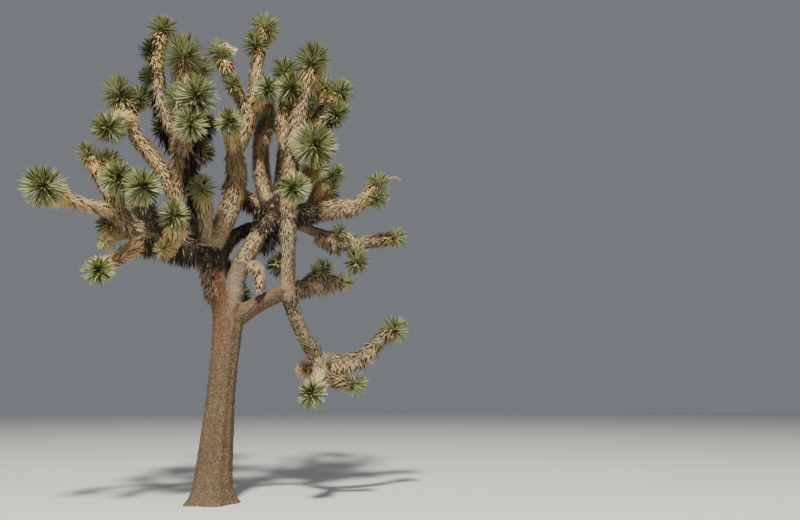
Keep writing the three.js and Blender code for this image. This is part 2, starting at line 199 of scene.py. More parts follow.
LIMBS = tuple(LimbSize(*row) for row in (
    ("trunk", "", 0, 2810, (20, 15), (88, 87), (255, 208), Straw.TAN, BARE, Skin.CORKY),
    ("left_stem", "trunk", 0.9, 1200, (-161, -186), (64, 82), (155, 150), Straw.GREY, BARE, Skin.CORKY),
    ("west_bough", "left_stem", 1, 730, (-170, -160), (-10, 30), (145, 125), Straw.TAN, 0.1),
    ("west_arm", "west_bough", 1, 730, (-152, -168), (-28, 69), (125, 110), Straw.GREY, 0),
    ("west_hand", "west_arm", 0.97, 690, (-155, -162), (-2, 13), (75, 60), Straw.GOLD, 0),
    ("west_low_arm", "west_arm", 0.25, 720, (-143, -163), (-56, -33), (95, 70), Straw.GOLD, 0),
    ("left_crown_stem", "west_bough", 0.6, 1560, (-84, -185), (83, 88), (135, 130), Straw.TAN, 0.6),
    ("left_arm", "left_crown_stem", 0.32, 1350, (-185, -207), (68, 44), (85, 85), Straw.GOLD, 0.1),
    ("left_spire", "left_crown_stem", 1, 1140, (131, 176), (41, 86), (95, 80), Straw.GREY, 0),
    ("middle_bough", "left_stem", 1, 1590, (-20, 24), (52, 106), (155, 125), Straw.TAN, 0.5),
    ("middle_spire", "middle_bough", 1, 1470, (-30, 71), (62, 94), (120, 75), Straw.GOLD, 0),
    ("center_bough", "trunk", 1, 1540, (-1, 10), (85, 47), (155, 125)),
    ("center_spire", "center_bough", 1, 1480, (179, 78), (65, 87), (115, 100), Straw.TAN, 0.3),
    ("center_right_spire", "center_bough", 1, 1690, (5, -22), (75, 101), (115, 95), Straw.TAN, 0.2),
    ("right_elbow", "trunk", 0.9, 990, (-13, -19), (36, 22), (135, 120), Straw.TAN, BARE, Skin.CORKY),
    ("right_riser", "right_elbow", 1, 1360, (101, 96), (88, 79), (110, 100), Straw.GREY, 0.6),
    ("right_spire", "right_riser", 1, 2080, (14, -22), (91, 76), (128, 95), Straw.TAN, 0.1),
    ("east_bough", "right_riser", 0.9, 1160, (34, -25), (20, 4), (130, 105), Straw.TAN, 0.25),
    ("back_bough", "left_stem", 0.5, 2100, (84, -17), (84, -9), (125, 75), Straw.TAN, BARE, Skin.SMOOTH),
    ("back_bough_end", "back_bough", 1, 810, (-4, -35), (-24, -24), (75, 120), Straw.GREY, 0.75, Skin.SMOOTH),
    ("drooping_bough", "right_elbow", 1, 1130, (-2, 17), (-77, -48), (95, 95), Straw.GREY, 0.8),
    ("drooping_arm", "drooping_bough", 1, 1150, (7, 18), (-16, 52), (95, 80), Straw.GREY, 0.15),
    ("hanging_stub", "center_bough", 0.35, 760, (-9, -110), (41, -112), (75, 75),
     Straw.TAN, 0.45, Skin.SMOOTH),
    ("back_left_bough", "left_stem", 0.8, 2690, (119, 113), (48, 74), (120, 85), Straw.TAN, 0.5),
    ("back_right_bough", "center_bough", 0.7, 2420, (49, 81), (38, 78), (125, 90), Straw.TAN, 0.5),
))

MASSES = tuple(MassSize(*row) for row in (
    ("far_left_head", "west_hand", 1, ((-150, -570, 0, 250),), Straw.GOLD),
    ("left_finger", "west_arm", 0.97, ((-510, 160, 890, 160),), Straw.GOLD, 0.3),
    ("left_shoulder", "west_arm", 0.9, ((60, -820, 290, 220), (-290, 410, 880, 210))),
    # Its stems carry near-black straw, painted shade below the rosette.
    ("left_star", "west_bough", 0.97, ((-150, -1330, 290, 220),), Straw.DARK),
    ("left_stub", "west_arm", 0.35,
     ((-550, 560, 240, 180), (-490, -40, -170, 130)), Straw.TAN, 0.2, (0,), (1,)),
    ("low_left_head", "west_low_arm", 1, ((-30, -510, -190, 180),), Straw.GOLD),
    ("left_back_heads", "west_bough", 0.9,
     ((-300, 480, 420, 180), (-630, 1770, 890, 220), (-180, 1630, 600, 220)), Straw.TAN, 0, (0,)),
    ("dusty_head", "west_bough", 0.65,
     ((10, -1030, 130, 200), (-120, -670, -300, 140)), Straw.TAN, 0.15, (), (1,)),
    ("inner_head", "left_stem", 1, ((-130, -630, 720, 200),), Straw.GREY, 0.25),
    ("left_arm_heads", "left_arm", 1, ((-300, -50, 700, 260), (-20, 250, 780, 200), (-360, -350, -10, 230))),
    ("left_spire_heads", "left_spire", 1,
     ((-10, 100, 1000, 220), (-140, 50, 570, 190), (-140, 50, 110, 190)), Straw.TAN, 0, (1, 2)),
    ("left_top_heads", "left_crown_stem", 0.97, ((-40, -140, 1380, 320), (170, 360, 1400, 240))),
    ("left_front_heads", "left_crown_stem", 0.85,
     ((240, -1170, 470, 260), (-40, -660, 600, 210), (190, -1320, -40, 210)), Straw.TAN, 0.25),
    ("left_shade_heads", "left_crown_stem", 0.7,
     # Their stems carry near-black straw, painted shade behind the crown stem.
     ((300, 550, 960, 210), (280, 450, 460, 210), (-370, 930, 1020, 200)), Straw.DARK, 0, (0, 1, 2)),
    ("back_left_heads", "back_left_bough", 1,
     ((-60, 970, 1310, 300), (-340, 1260, 1000, 290), (200, 750, 650, 260))),
    ("middle_top_heads", "middle_spire", 1, ((120, 210, 870, 230), (-50, 10, 440, 210)), Straw.GOLD),
    ("middle_left_heads", "middle_spire", 0.35,
     ((-480, -150, 1060, 200), (-270, -200, 540, 180)), Straw.TAN, 0.4),
    ("middle_low_head", "middle_bough", 0.95, ((-110, -630, 310, 200),)),
    ("middle_right_head", "middle_spire", 0.5, ((200, -590, 130, 190),)),
    ("center_head", "center_spire", 1, ((150, 500, 510, 210), (20, 1080, 1210, 250))),
    ("crossing_head", "center_spire", 0.06, ((-690, 440, 500, 140),), Straw.TAN, 0.3, (0,)),
    ("center_right_heads", "center_right_spire", 1, ((20, 130, 960, 220), (90, -270, 470, 240))),
    ("right_top_head", "right_spire", 1, ((80, -50, 460, 290),), Straw.GOLD),
    ("right_star", "right_spire", 0.45, ((220, -1030, -270, 300),)),
    ("right_outer_heads", "right_spire", 0.4,
     ((750, 150, 910, 230), (890, 710, 1580, 230), (660, 1210, 1850, 220))),
    ("right_hook_heads", "right_riser", 0.97, ((410, 60, 750, 210), (-20, -1030, 30, 210)), Straw.GOLD, 0.25),
    ("east_shade_heads", "east_bough", 0.3,
     ((450, 140, 720, 210), (410, 810, 610, 240)), Straw.GOLD, 0, (1,)),
    ("east_end_heads", "east_bough", 1, ((370, -50, 410, 200), (340, -200, 100, 180)), Straw.TAN, 0.2),
    ("back_bough_heads", "back_bough_end", 1,
     ((910, -50, 150, 170), (-80, -150, 180, 130), (200, -200, -360, 190)), Straw.GREY, 0.2),
    ("elbow_heads", "right_elbow", 0.95,
     ((1020, 590, 320, 160), (640, 490, 480, 180), (250, 290, 90, 140)), Straw.GREY, 0.2),
    ("riser_head", "right_riser", 0.4, ((-130, 370, -90, 170),), Straw.GREY, 0, (0,)),
    ("crotch_head", "back_bough", 0.2, ((380, 640, -450, 160),), Straw.GREY, 0, (0,)),
    ("drooping_heads", "drooping_bough", 1,
     ((-180, -600, -510, 190), (550, -170, -370, 180), (-190, 230, -130, 140)), Straw.GREY, 0.1, (), (2,)),
    ("droop_end_head", "drooping_arm", 1, ((270, 110, 190, 220),), Straw.GREY),
    ("back_right_heads", "back_right_bough", 1,
     ((70, 1020, 1140, 290), (360, 510, 1080, 270), (570, 1020, 570, 270))),
))

FRONT = (0.0, -1.0, 0.0)
UNDER = (0.0, 0.1, -1.0)
FRONT_UNDER = (0.0, -0.3, -1.0)

# Shags of near-black straw are painted shadow, hung where limbs and stems lie in the crown's shade.
SHAGS = tuple(ShagSize(*row) for row in (
    ("left_stem", (0.35, 0.9), (-0.95, -0.25, 0.1), Straw.GREY, (0.06, 0.14), 1700),
    ("left_stem", (0.7, 1.0), (0.2, -0.9, -0.3), Straw.DARK, (0.06, 0.14), 2600),
    ("west_bough", (0.0, 1.0), UNDER, Straw.DARK, (0.12, 0.3), 3300),
    ("west_bough", (0.0, 0.8), FRONT, Straw.DARK, (0.06, 0.14), 2600),
    ("west_arm", (0.0, 0.35), UNDER, Straw.DARK, (0.16, 0.34), 3000),
    ("left_crown_stem", (0.3, 0.9), (0.9, 0.3, 0.0), Straw.DARK, (0.18, 0.36), 2600),
    ("left_shade_heads", (0.3, 1.0), (0.2, 0.0, -1.0), Straw.DARK, (0.2, 0.42), 2600),
    ("hanging_stub", (0.3, 1.0), (-0.8, -0.2, -0.5), Straw.TAN, (0.05, 0.12), 2200),
    ("left_spire", (0.3, 0.9), (-0.7, 0.4, -0.3), Straw.DARK, (0.08, 0.2), 2400),
    ("center_head", (0.3, 1.0), FRONT_UNDER, Straw.TAN, (0.12, 0.26), 2000),
    ("center_right_heads", (0.3, 1.0), FRONT_UNDER, Straw.TAN, (0.1, 0.22), 2000),
    ("left_top_heads", (0.4, 1.0), FRONT_UNDER, Straw.TAN, (0.12, 0.28), 2000),
    ("left_front_heads", (0.5, 1.0), FRONT_UNDER, Straw.GREY, (0.1, 0.24), 1800),
    ("right_outer_heads", (0.4, 1.0), FRONT_UNDER, Straw.DARK, (0.12, 0.26), 2000),
    ("drooping_bough", (0.02, 0.3), FRONT, Straw.DARK, (0.03, 0.08), 3000),
    ("drooping_arm", (0.15, 0.8), (0.0, -0.5, -0.8), Straw.TAN, (0.08, 0.18), 1800),
    ("back_bough", (0.1, 0.62), FRONT, Straw.DARK, (0.03, 0.08), 3500),
    ("crossing_head", (0.1, 0.85), (0.0, 0.2, -1.0), Straw.DARK, (0.14, 0.3), 3600),
    ("center_bough", (0.72, 1.0), (0.2, 0.5, -1.0), Straw.DARK, (0.16, 0.34), 2600),
    ("center_bough", (0.78, 1.0), (-0.1, -1.0, 0.0), Straw.DARK, (0.05, 0.13), 4200),
    ("center_spire", (0.0, 0.22), (-0.1, -1.0, 0.0), Straw.DARK, (0.05, 0.13), 4200),
    ("center_right_spire", (0.0, 0.25), (0.3, -1.0, -0.3), Straw.DARK, (0.1, 0.2), 3600),
    ("east_bough", (0.0, 0.5), (0.0, -1.0, 0.3), Straw.DARK, (0.04, 0.1), 3800),
    ("right_riser", (0.86, 1.0), (0.2, -1.0, 0.0), Straw.DARK, (0.05, 0.12), 3000),
    ("center_right_spire", (0.3, 0.7), (-1.0, 0.3, 0.0), Straw.DARK, (0.06, 0.14), 2400),
    ("middle_bough", (0.3, 0.6), (-1.0, 0.5, 0.0), Straw.TAN, (0.06, 0.14), 1800),
    ("right_star", (0.45, 0.9), (0.5, -0.4, -0.8), Straw.DARK, (0.1, 0.24), 3200),
    ("east_bough", (0.0, 0.45), (0.0, 0.2, -1.0), Straw.DARK, (0.06, 0.15), 2400),
    ("east_bough", (0.45, 1.0), FRONT_UNDER, Straw.GREY, (0.06, 0.13), 1500),
    ("back_bough_end", (0.45, 1.0), (0.0, -0.6, -0.8), Straw.TAN, (0.08, 0.18), 2600),
    ("elbow_heads", (0.05, 0.85), (0.2, -0.7, -0.7), Straw.GREY, (0.1, 0.22), 3600),
))

STALKS = tuple(StalkSize(*row) for row in (
    ("middle_left_heads", 0, (-0.02, -0.15, -0.01), (0.18, -0.16, -0.03),
     LeafKind.CREAM, 90, (0.14, 0.03), 0.42),
    ("east_end_heads", 0, (0.05, -0.06, 0.02), (0.34, -0.02, 0.09), LeafKind.ROSE, 34, (0.045, 0.012), 0.9),
    ("east_shade_heads", 1, (0.1, -0.1, -0.02), (0.36, -0.14, -0.03), LeafKind.ROSE, 22, (0.04, 0.011), 0.7),
))

# Shares of their length from which these limbs carry short dead leaves.
BARE_TO = {
    "center_bough": 0.42,
    "right_elbow": 1.0,
    "back_bough": 1.0,
    "back_bough_end": 0.7,
    "hanging_stub": 1.0,
}

# For each straw, the part of a random draw up to which a dead leaf has each colour. The rest is near-black
# straw, painted shade among the leaves.
STRAW_ODDS = {
    Straw.GOLD: ((LeafKind.GOLD, 0.4), (LeafKind.STRAW, 0.78), (LeafKind.GREY, 0.93)),
    Straw.TAN: ((LeafKind.GOLD, 0.2), (LeafKind.STRAW, 0.6), (LeafKind.GREY, 0.88)),
    Straw.GREY: ((LeafKind.GOLD, 0.04), (LeafKind.STRAW, 0.28), (LeafKind.GREY, 0.88)),
    Straw.DARK: ((LeafKind.GOLD, 0.0), (LeafKind.STRAW, 0.01), (LeafKind.GREY, 0.09)),
}

# For each straw, how far down a skirt the dead leaves are still golden.
GOLDEN_TO = {Straw.GOLD: 0.465, Straw.TAN: 0.2976, Straw.GREY: 0.186, Straw.DARK: 0.124}

# The ages up to which a leaf of a rosette has each colour. The rest is straw.
LEAF_AGES = (
    (LeafKind.FRESH, 0.16),
    (LeafKind.DEEP, 0.44),
    (LeafKind.OLIVE, 0.9),
    (LeafKind.PALE, 1.08),
    (LeafKind.GOLD, 1.2),
)
GREENS = (LeafKind.FRESH, LeafKind.DEEP, LeafKind.OLIVE)

# The stained bark at the fork: middles, reaches, how far the stain goes and how strong it is.
RUST_SPOTS = (
    ((-0.13, -0.17, 3.1), (0.2, 0.25, 0.56), 1.25, 1.0),
    ((-0.04, -0.2, 2.42), (0.14, 0.22, 0.4), 1.1, 0.75),
)


def chance(seed: float, index: float) -> float:
    """A random number from two whole numbers.

    Args:
        seed: The first number.
        index: The second number.

    Returns:
        A number from 0 to 1, always the same for the same two.
    """
    wave = math.sin(seed * 127.1 + index * 311.7 + 17.3) * 43758.5453
    return wave - math.floor(wave)


def unit(vectors: np.ndarray) -> np.ndarray:
    """One vector, or rows of them, made one metre long."""
    size = np.linalg.norm(vectors, axis=-1, keepdims=True)
    return vectors / np.maximum(size, 1e-9)


def lattice_random(corners: np.ndarray, seed: int) -> np.ndarray:
    """Random numbers for the corners of a whole-number lattice.

    Args:
        corners: Whole numbers, three in each row.
        seed: Picks one of many lattices.

    Returns:
        One number from 0 to 1 for each row.
    """
    x, y, z = (corners[..., k].astype(np.int64).astype(np.uint64) for k in range(3))
    mixed = x * np.uint64(0x9E3779B1) + y * np.uint64(0x85EBCA77) + z * np.uint64(0xC2B2AE3D)
    mixed += np.uint64(seed) * np.uint64(0x27D4EB2F)
    for shift, factor in ((15, 0x2C1B3C6D), (12, 0x297A2D39)):
        mixed ^= mixed >> np.uint64(shift)
        mixed = (mixed * np.uint64(factor)) & np.uint64(0xFFFFFFFF)
    mixed ^= mixed >> np.uint64(15)
    return (mixed & np.uint64(0xFFFFFF)).astype(np.float64) / float(0x1000000)


def soft_noise(points: np.ndarray, seed: int, octaves: int = 1) -> np.ndarray:
    """Smooth noise in space.

    Args:
        points: Places, already scaled so that one unit is one blob.
        seed: Picks one of many patterns.
        octaves: How many finer copies are added.

    Returns:
        One number from about -1 to 1 for each place.
    """
    total = np.zeros(len(points))
    for octave in range(octaves):
        scaled = points * 2.03**octave
        corner = np.floor(scaled)
        part = scaled - corner
        part = part * part * (3 - 2 * part)
        value = np.zeros(len(points))
        for step in itertools.product((0, 1), repeat=3):
            weight = np.where(step, part, 1 - part).prod(axis=1)
            value += weight * lattice_random(corner + step, seed + octave)
        total += 0.5**octave * (value * 2 - 1)
    return total


def cells(points: np.ndarray, seed: int) -> tuple[np.ndarray, np.ndarray, np.ndarray]:
    """A pattern of irregular cells in space.

    Args:
        points: Places, already scaled so that one unit is one cell.
        seed: Picks one of many patterns.

    Returns:
        For each place how far it lies inside its cell's edge, how far it lies below
        its cell's middle along the third axis, and a random number of its cell.
    """
    base = np.floor(points)
    first = np.full(len(points), 9.0)
    second = first.copy()
    below = np.zeros(len(points))
    label = np.zeros(len(points))
    for step in itertools.product((-1, 0, 1), repeat=3):
        corner = base + step
        sway = np.stack([lattice_random(corner, seed + k) for k in (1, 2, 3)], axis=-1)
        middle = corner + sway * 0.9
        gap = np.linalg.norm(points - middle, axis=-1)
        closer = gap < first
        second = np.where(closer, first, np.minimum(second, gap))
        below = np.where(closer, middle[:, 2] - points[:, 2], below)
        label = np.where(closer, lattice_random(corner, seed + 7), label)
        first = np.minimum(first, gap)
    return second - first, below, label


@dataclass
class Course:
    """A centre line stored as short straight steps.

    Attributes:
        points: Places along it, in metres.
        reference: The direction that its sides are measured from.
        reach: How far ahead and behind its direction is read, as a share.
    """

    points: np.ndarray
    reference: Vector = (0.31, -0.92, 0.24)
    reach: float = 0.03

    def point(self, share: np.ndarray | float) -> np.ndarray:
        """Places at shares of the length.

        Args:
            share: One share from 0 to 1, or several.

        Returns:
            A place for each share.
        """
        steps = len(self.points) - 1
        place = np.clip(share, 0, 1) * steps
        first = np.minimum(np.floor(place).astype(int), steps - 1)
        part = np.asarray(place - first)[..., None]
        return self.points[first] * (1 - part) + self.points[first + 1] * part

    def direction(self, share: np.ndarray | float) -> np.ndarray:
        """Unit directions at shares of the length."""
        share = np.asarray(share)
        ahead = self.point(np.minimum(share + self.reach, 1))
        return unit(ahead - self.point(np.maximum(share - self.reach, 0)))

    def length(self) -> float:
        """The length in metres."""
        return float(np.linalg.norm(np.diff(self.points, axis=0), axis=1).sum())

    def frame(self, share: np.ndarray) -> tuple[np.ndarray, np.ndarray, np.ndarray]:
        """Three directions square to each other at each share.

        Args:
            share: Shares of the length.

        Returns:
            The directions across, sideways and along the line.
        """
        along = self.direction(share)
        reference = np.array(self.reference)
        across = unit(reference - along * (along @ reference)[..., None])
        return across, np.cross(across, along), along


@dataclass
class Tube:
    """A limb or a stem: a centre line with a radius that changes evenly.

    Attributes:
        name: The node that it belongs to.
        course: Its centre line.
        thick: Radius where it starts, in metres.
        thin: Radius where it ends, in metres.
        sunk: How much of its start lies inside what it grows from, in metres.
        head: Radius of the rosette at its end, or none.
    """

    name: str
    course: Course
    thick: float
    thin: float
    sunk: float = 0.0
    head: float = 0.0

    def radius(self, share: np.ndarray | float) -> np.ndarray:
        """The radius at shares of the length."""
        return self.thick + (self.thin - self.thick) * np.asarray(share)


@dataclass
class Head:
    """One rosette: where it is, which way it faces and how large it is."""

    centre: np.ndarray
    axis: np.ndarray
    radius: float
    dryness: float
    shaded: bool
    withered: bool
    seed: int


@dataclass
class Skeleton:
    """The limbs, stems and rosettes, grown by the rule that the solids follow.

    Attributes:
        flare_heights: Heights of the trunk's rings, in millimetres.
        flare_radii: The trunk's radii from the root flare to the fork, in millimetres.
        flare_fade: Height over which the root flare's lobes fade, in millimetres.
        lobes: How many lobes the root flare has.
        lobe_depth: How deep they are, as a share of the radius.
        furrows: How many furrows run up the trunk.
        furrow_depth: How far they reach either way, in millimetres.
        furrow_change: How much that changes from ring to ring, as a share.
        swell_depth: How far the trunk is from round above its flare, as a share of the radius.
        stem_share: Radius of a mass's stem at a limb's end, as a share of the limb's.
        side_stem_share: The same on a limb's side.
        end_from: Share of a limb's length from which a stem counts as at its end.
        fork_share: Where a stem forks on the way to the middle of its rosettes.
        fork_limit: The same on the way to the nearest one, at most.
        fork_sway: How far the fork may be off the straight way, as a share.
        fork_thinning: How much of its radius a stem has left at its fork.
        twig_share: Radius of the first twig, as a share of the fork's.
        twig_share_step: How much less each next twig has.
        thin_share: Radius of a twig at its rosette, as a share of the rosette's.
        root_sink: How deep a stem starts in its limb, in millimetres.
        twig_sink: How deep the first twig starts in the fork, in millimetres.
        along_pull: How much a stem still follows its limb.
        upward_pull: How much a rosette turns upwards.
    """

    flare_heights: tuple[float, ...] = (0, 70, 190, 420, 900, 1500, 2050, 2500, 2830)
    flare_radii: tuple[float, ...] = (385, 330, 276, 246, 222, 206, 206, 214, 214)
    flare_fade: float = 180
    lobes: int = 5
    lobe_depth: float = 0.09
    furrows: int = 10
    furrow_depth: float = 8
    furrow_change: float = 0.4
    swell_depth: float = 0.04
    stem_share: float = 0.92
    side_stem_share: float = 0.66
    end_from: float = 0.95
    fork_share: float = 0.42
    fork_limit: float = 0.7
    fork_sway: float = 0.2
    fork_thinning: float = 0.85
    twig_share: float = 0.82
    twig_share_step: float = 0.09
    thin_share: float = 0.28
    root_sink: float = 60
    twig_sink: float = 17
    along_pull: float = 0.5
    upward_pull: float = 0.35
    limbs: dict[str, Tube] = field(default_factory=dict)
    stems: list[Tube] = field(default_factory=list)
    heads: list[Head] = field(default_factory=list)

    def grow(self) -> None:
        """Grow every limb, stem and rosette."""
        for size in LIMBS:
            self.limbs[size.name] = self.grow_limb(size)
        for index, mass in enumerate(MASSES):
            self.grow_mass(mass, index)

    def grow_limb(self, size: LimbSize) -> Tube:
        """One limb, which turns evenly in heading and in climb.

        Args:
            size: Its sizes.

        Returns:
            Its tube.
        """
        start = np.zeros(3)
        sunk = 0.0
        if size.parent:
            parent = self.limbs[size.parent]
            start = parent.course.point(size.at)
            sunk = float(parent.radius(size.at))
        share = (np.arange(COURSE_STEPS) + 0.5) / COURSE_STEPS
        heading, climb = (
            np.radians(first + (last - first) * share) for first, last in (size.heading, size.climb)
        )
        flat = np.cos(climb)
        step = np.stack([flat * np.cos(heading), flat * np.sin(heading), np.sin(climb)], axis=1)
        travelled = np.vstack([np.zeros(3), np.cumsum(step, axis=0)]) * size.length * MM / COURSE_STEPS
        return Tube(size.name, Course(start + travelled), size.radius[0] * MM, size.radius[1] * MM, sunk)

    def ring_radius(self, ring: np.ndarray, angle: np.ndarray) -> np.ndarray:
        """The trunk's radius on one of its rings.

        Args:
            ring: Numbers of rings, counted from the ground.
            angle: Angles round the trunk.

        Returns:
            The radii in millimetres.
        """
        flare = np.exp(-np.array(self.flare_heights)[ring] / self.flare_fade)
        lobes = self.lobe_depth * flare * np.sin(self.lobes * angle + 0.8)
        swell = self.swell_depth * (1 - flare) * np.sin(2 * angle + ring * 1.3)
        depth = self.furrow_depth * (1 + self.furrow_change * np.sin(ring * 2.1))
        return np.array(self.flare_radii)[ring] * (1 + lobes + swell) + depth * np.cos(self.furrows * angle)

    def trunk_radius(self, height: np.ndarray, angle: np.ndarray) -> np.ndarray:
        """The trunk's radius, which changes evenly from one ring to the next.

        Args:
            height: Heights above the ground, in metres.
            angle: Angles round the trunk.

        Returns:
            The radii in metres.
        """
        heights = np.array(self.flare_heights)
        upper = np.clip(np.searchsorted(heights, height / MM), 1, len(heights) - 1)
        part = np.clip((height / MM - heights[upper - 1]) / (heights[upper] - heights[upper - 1]), 0, 1)
        below = self.ring_radius(upper - 1, angle)
        return (below + (self.ring_radius(upper, angle) - below) * part) * MM

    @staticmethod
    def bowed(start: np.ndarray, leaving: np.ndarray, end: np.ndarray) -> Course:
        """A twig's centre line, which leaves along one direction and ends at a given place.

        Args:
            start: Where it starts.
            leaving: The direction in which it leaves.
            end: Where it ends.

        Returns:
            The centre line.
        """
        control = start + leaving * np.linalg.norm(end - start) * 0.45
        t = np.linspace(0, 1, 9)[:, None]
        return Course((1 - t) ** 2 * start + 2 * t * (1 - t) * control + t**2 * end)

    def grow_mass(self, mass: MassSize, index: int) -> None:
        """The stems and rosettes of one mass.

        Args:
            mass: Its sizes.
            index: Its place in the list, which seeds it.
        """
        limb = self.limbs[mass.limb]
        root = limb.course.point(mass.at)
        sunk = float(limb.radius(mass.at))
        radius = sunk * (self.stem_share if mass.at > self.end_from else self.side_stem_share)
        centres = [root + np.array(head[:3]) * MM for head in mass.heads]
        several = len(centres) > 1
        middle = np.mean(centres, axis=0)
        outward = unit(middle - root)
        direction = unit(limb.course.direction(mass.at) * self.along_pull + outward)
        fork = root
        if several:
            nearest = min(float(np.linalg.norm(c - root)) for c in centres)
            reach = min(float(np.linalg.norm(middle - root)) * self.fork_share, nearest * self.fork_limit)
            sway = np.array([chance(index, 1) - 0.5, chance(index, 2) - 0.5, chance(index, 3) - 0.2])
            fork = root + outward * reach + sway * reach * self.fork_sway
            first = self.bowed(root - direction * self.root_sink * MM, direction, fork)
            self.stems.append(Tube(mass.name, first, radius, radius * self.fork_thinning, sunk))
            radius *= self.fork_thinning
            direction = first.direction(1.0)
            sunk = 0.0
        for k, centre in enumerate(centres):
            sink = self.twig_sink * (k + 1) if several else self.root_sink
            course = self.bowed(fork - direction * sink * MM, direction, centre)
            size = mass.heads[k][3] * MM
            thick = radius * (self.twig_share - self.twig_share_step * k)
            self.stems.append(Tube(mass.name, course, thick, size * self.thin_share, sunk, size))
            axis = unit(course.direction(1.0) + np.array([0, 0, self.upward_pull]))
            seed = index * 10 + k
            dryness = mass.dryness * (0.6 + 0.8 * chance(seed, 9))
            self.heads.append(Head(centre, axis, size, dryness, k in mass.shaded, k in mass.withered, seed))


def mesh_object(name: str, shape: Shape, smooth: bool) -> bpy.types.Object:
    """A mesh object from arrays.

    Args:
        name: Its name.
        shape: Its vertices, and arrays of vertex numbers, each with its own count to a face.
        smooth: Whether its faces are shaded smoothly.

    Returns:
        The object, already in the scene.
    """
    vertices, faces = shape
    mesh = bpy.data.meshes.new(name)
    mesh.vertices.add(len(vertices))
    mesh.vertices.foreach_set("co", np.ascontiguousarray(vertices, dtype=np.float32).ravel())
    corners = np.concatenate([part.ravel() for part in faces]).astype(np.int32)
    sides = np.concatenate([np.full(len(part), part.shape[1]) for part in faces])
    starts = np.concatenate([[0], np.cumsum(sides)[:-1]]).astype(np.int32)
    mesh.loops.add(len(corners))
    mesh.loops.foreach_set("vertex_index", corners)
    mesh.polygons.add(len(sides))
    mesh.polygons.foreach_set("loop_start", starts)
    mesh.update(calc_edges=True)
    mesh.polygons.foreach_set("use_smooth", np.full(len(sides), smooth))
    mesh.validate()
    made = bpy.data.objects.new(name, mesh)
    bpy.context.scene.collection.objects.link(made)
    return made


def declare(made: bpy.types.Object, material: bpy.types.Material, nodes: list[str]) -> None:
    """Dress a piece, attach it to the root body and hide the nodes that it replaces.

    Args:
        made: The piece.
        material: Its material.
        nodes: The nodes that it replaces.
    """
    made.data.materials.clear()
    made.data.materials.append(material)
    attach(made, "root")
    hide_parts(*nodes)
    LOG.info("%s: %d faces", made.name, len(made.data.polygons))


def rings_round(
    centre: np.ndarray, across: np.ndarray, sideways: np.ndarray, angle: np.ndarray, radius: np.ndarray
) -> np.ndarray:
    """Rings of points round a centre line.

    Args:
        centre: The middle of each ring.
        across: The direction of each ring's first point.
        sideways: The direction a quarter turn further.
        angle: The angle of each point in a ring.
        radius: The radius by ring and by point.

    Returns:
        Points by ring and by place in the ring.
    """
    ring = across[:, None] * np.cos(angle)[None, :, None] + sideways[:, None] * np.sin(angle)[None, :, None]
    return centre[:, None] + ring * radius[..., None]


def close_rings(rings: np.ndarray) -> Shape:
    """Join rings of points into a closed tube.

    Args:
        rings: Points by ring and by side.

    Returns:
        Vertices and faces.
    """
    count, sides = rings.shape[:2]
    index = np.arange(count * sides).reshape(count, sides)
    around = np.roll(index, -1, axis=1)
    quads = np.stack([index[:-1], around[:-1], around[1:], index[1:]], axis=-1).reshape(-1, 4)
    vertices = np.vstack([rings.reshape(-1, 3), rings[0].mean(axis=0), rings[-1].mean(axis=0)])
    bottom = count * sides
    low = np.stack([np.full(sides, bottom), around[0], index[0]], axis=-1)
    high = np.stack([np.full(sides, bottom + 1), index[-1], around[-1]], axis=-1)
    return vertices, [quads, np.vstack([low, high])]


class Nodes:
    """A shader tree whose nodes are put together step by step."""

    def __init__(self, tree: bpy.types.NodeTree) -> None:
        """Take a tree."""
        self.tree = tree

    def add(self, kind: str, links: dict[str, object] | None = None, **settings: object) -> bpy.types.Node:
        """Add a node.

        Args:
            kind: Its type, without what all types start with.
            links: What feeds each of its inputs: a socket or a value.
            settings: Its own properties.

        Returns:
            The node.
        """
        node = self.tree.nodes.new(f"ShaderNode{kind}")
        for label, value in settings.items():
            setattr(node, label, value)
        for label, value in (links or {}).items():
            socket = node.inputs[int(label)] if label.isdigit() else node.inputs[label]
            if isinstance(value, Socket):
                self.tree.links.new(value, socket)
            else:
                socket.default_value = value
        return node

    def math(self, operation: str, first: object, second: object) -> Socket:
        """The result of a sum on two numbers."""
        return self.add("Math", {"0": first, "1": second}, operation=operation).outputs["Value"]

    def scaled(self, place: Socket, factor: object) -> Socket:
        """A place times a factor for each axis."""
        return self.add("VectorMath", {"0": place, "1": factor}, operation="MULTIPLY").outputs["Vector"]

    def noise(self, place: Socket, scale: object, detail: float, roughness: float = 0.5) -> Socket:
        """Smooth noise."""
        links = {"Vector": place, "Scale": scale, "Detail": detail, "Roughness": roughness}
        return self.add("TexNoise", links).outputs["Fac"]

    def ramp(self, value: Socket, low: float, high: float, start: float = 0.0, end: float = 1.0) -> Socket:
        """A value spread from one range over another.

        Args:
            value: The value.
            low: Where the first range starts.
            high: Where it ends.
            start: What its start becomes.
            end: What its end becomes.

        Returns:
            The new value.
        """
        links = {"Value": value, "From Min": low, "From Max": high, "To Min": start, "To Max": end}
        return self.add("MapRange", links).outputs["Result"]

    def mix(self, factor: object, first: object, second: object) -> Socket:
        """Two colours mixed by a factor."""
        return self.add("Mix", {"Factor": factor, "6": first, "7": second}, data_type="RGBA").outputs[2]

    def attribute(self, name: str, output: str = "Fac") -> Socket:
        """A value that is stored on the mesh."""
        return self.add("Attribute", attribute_name=name).outputs[output]


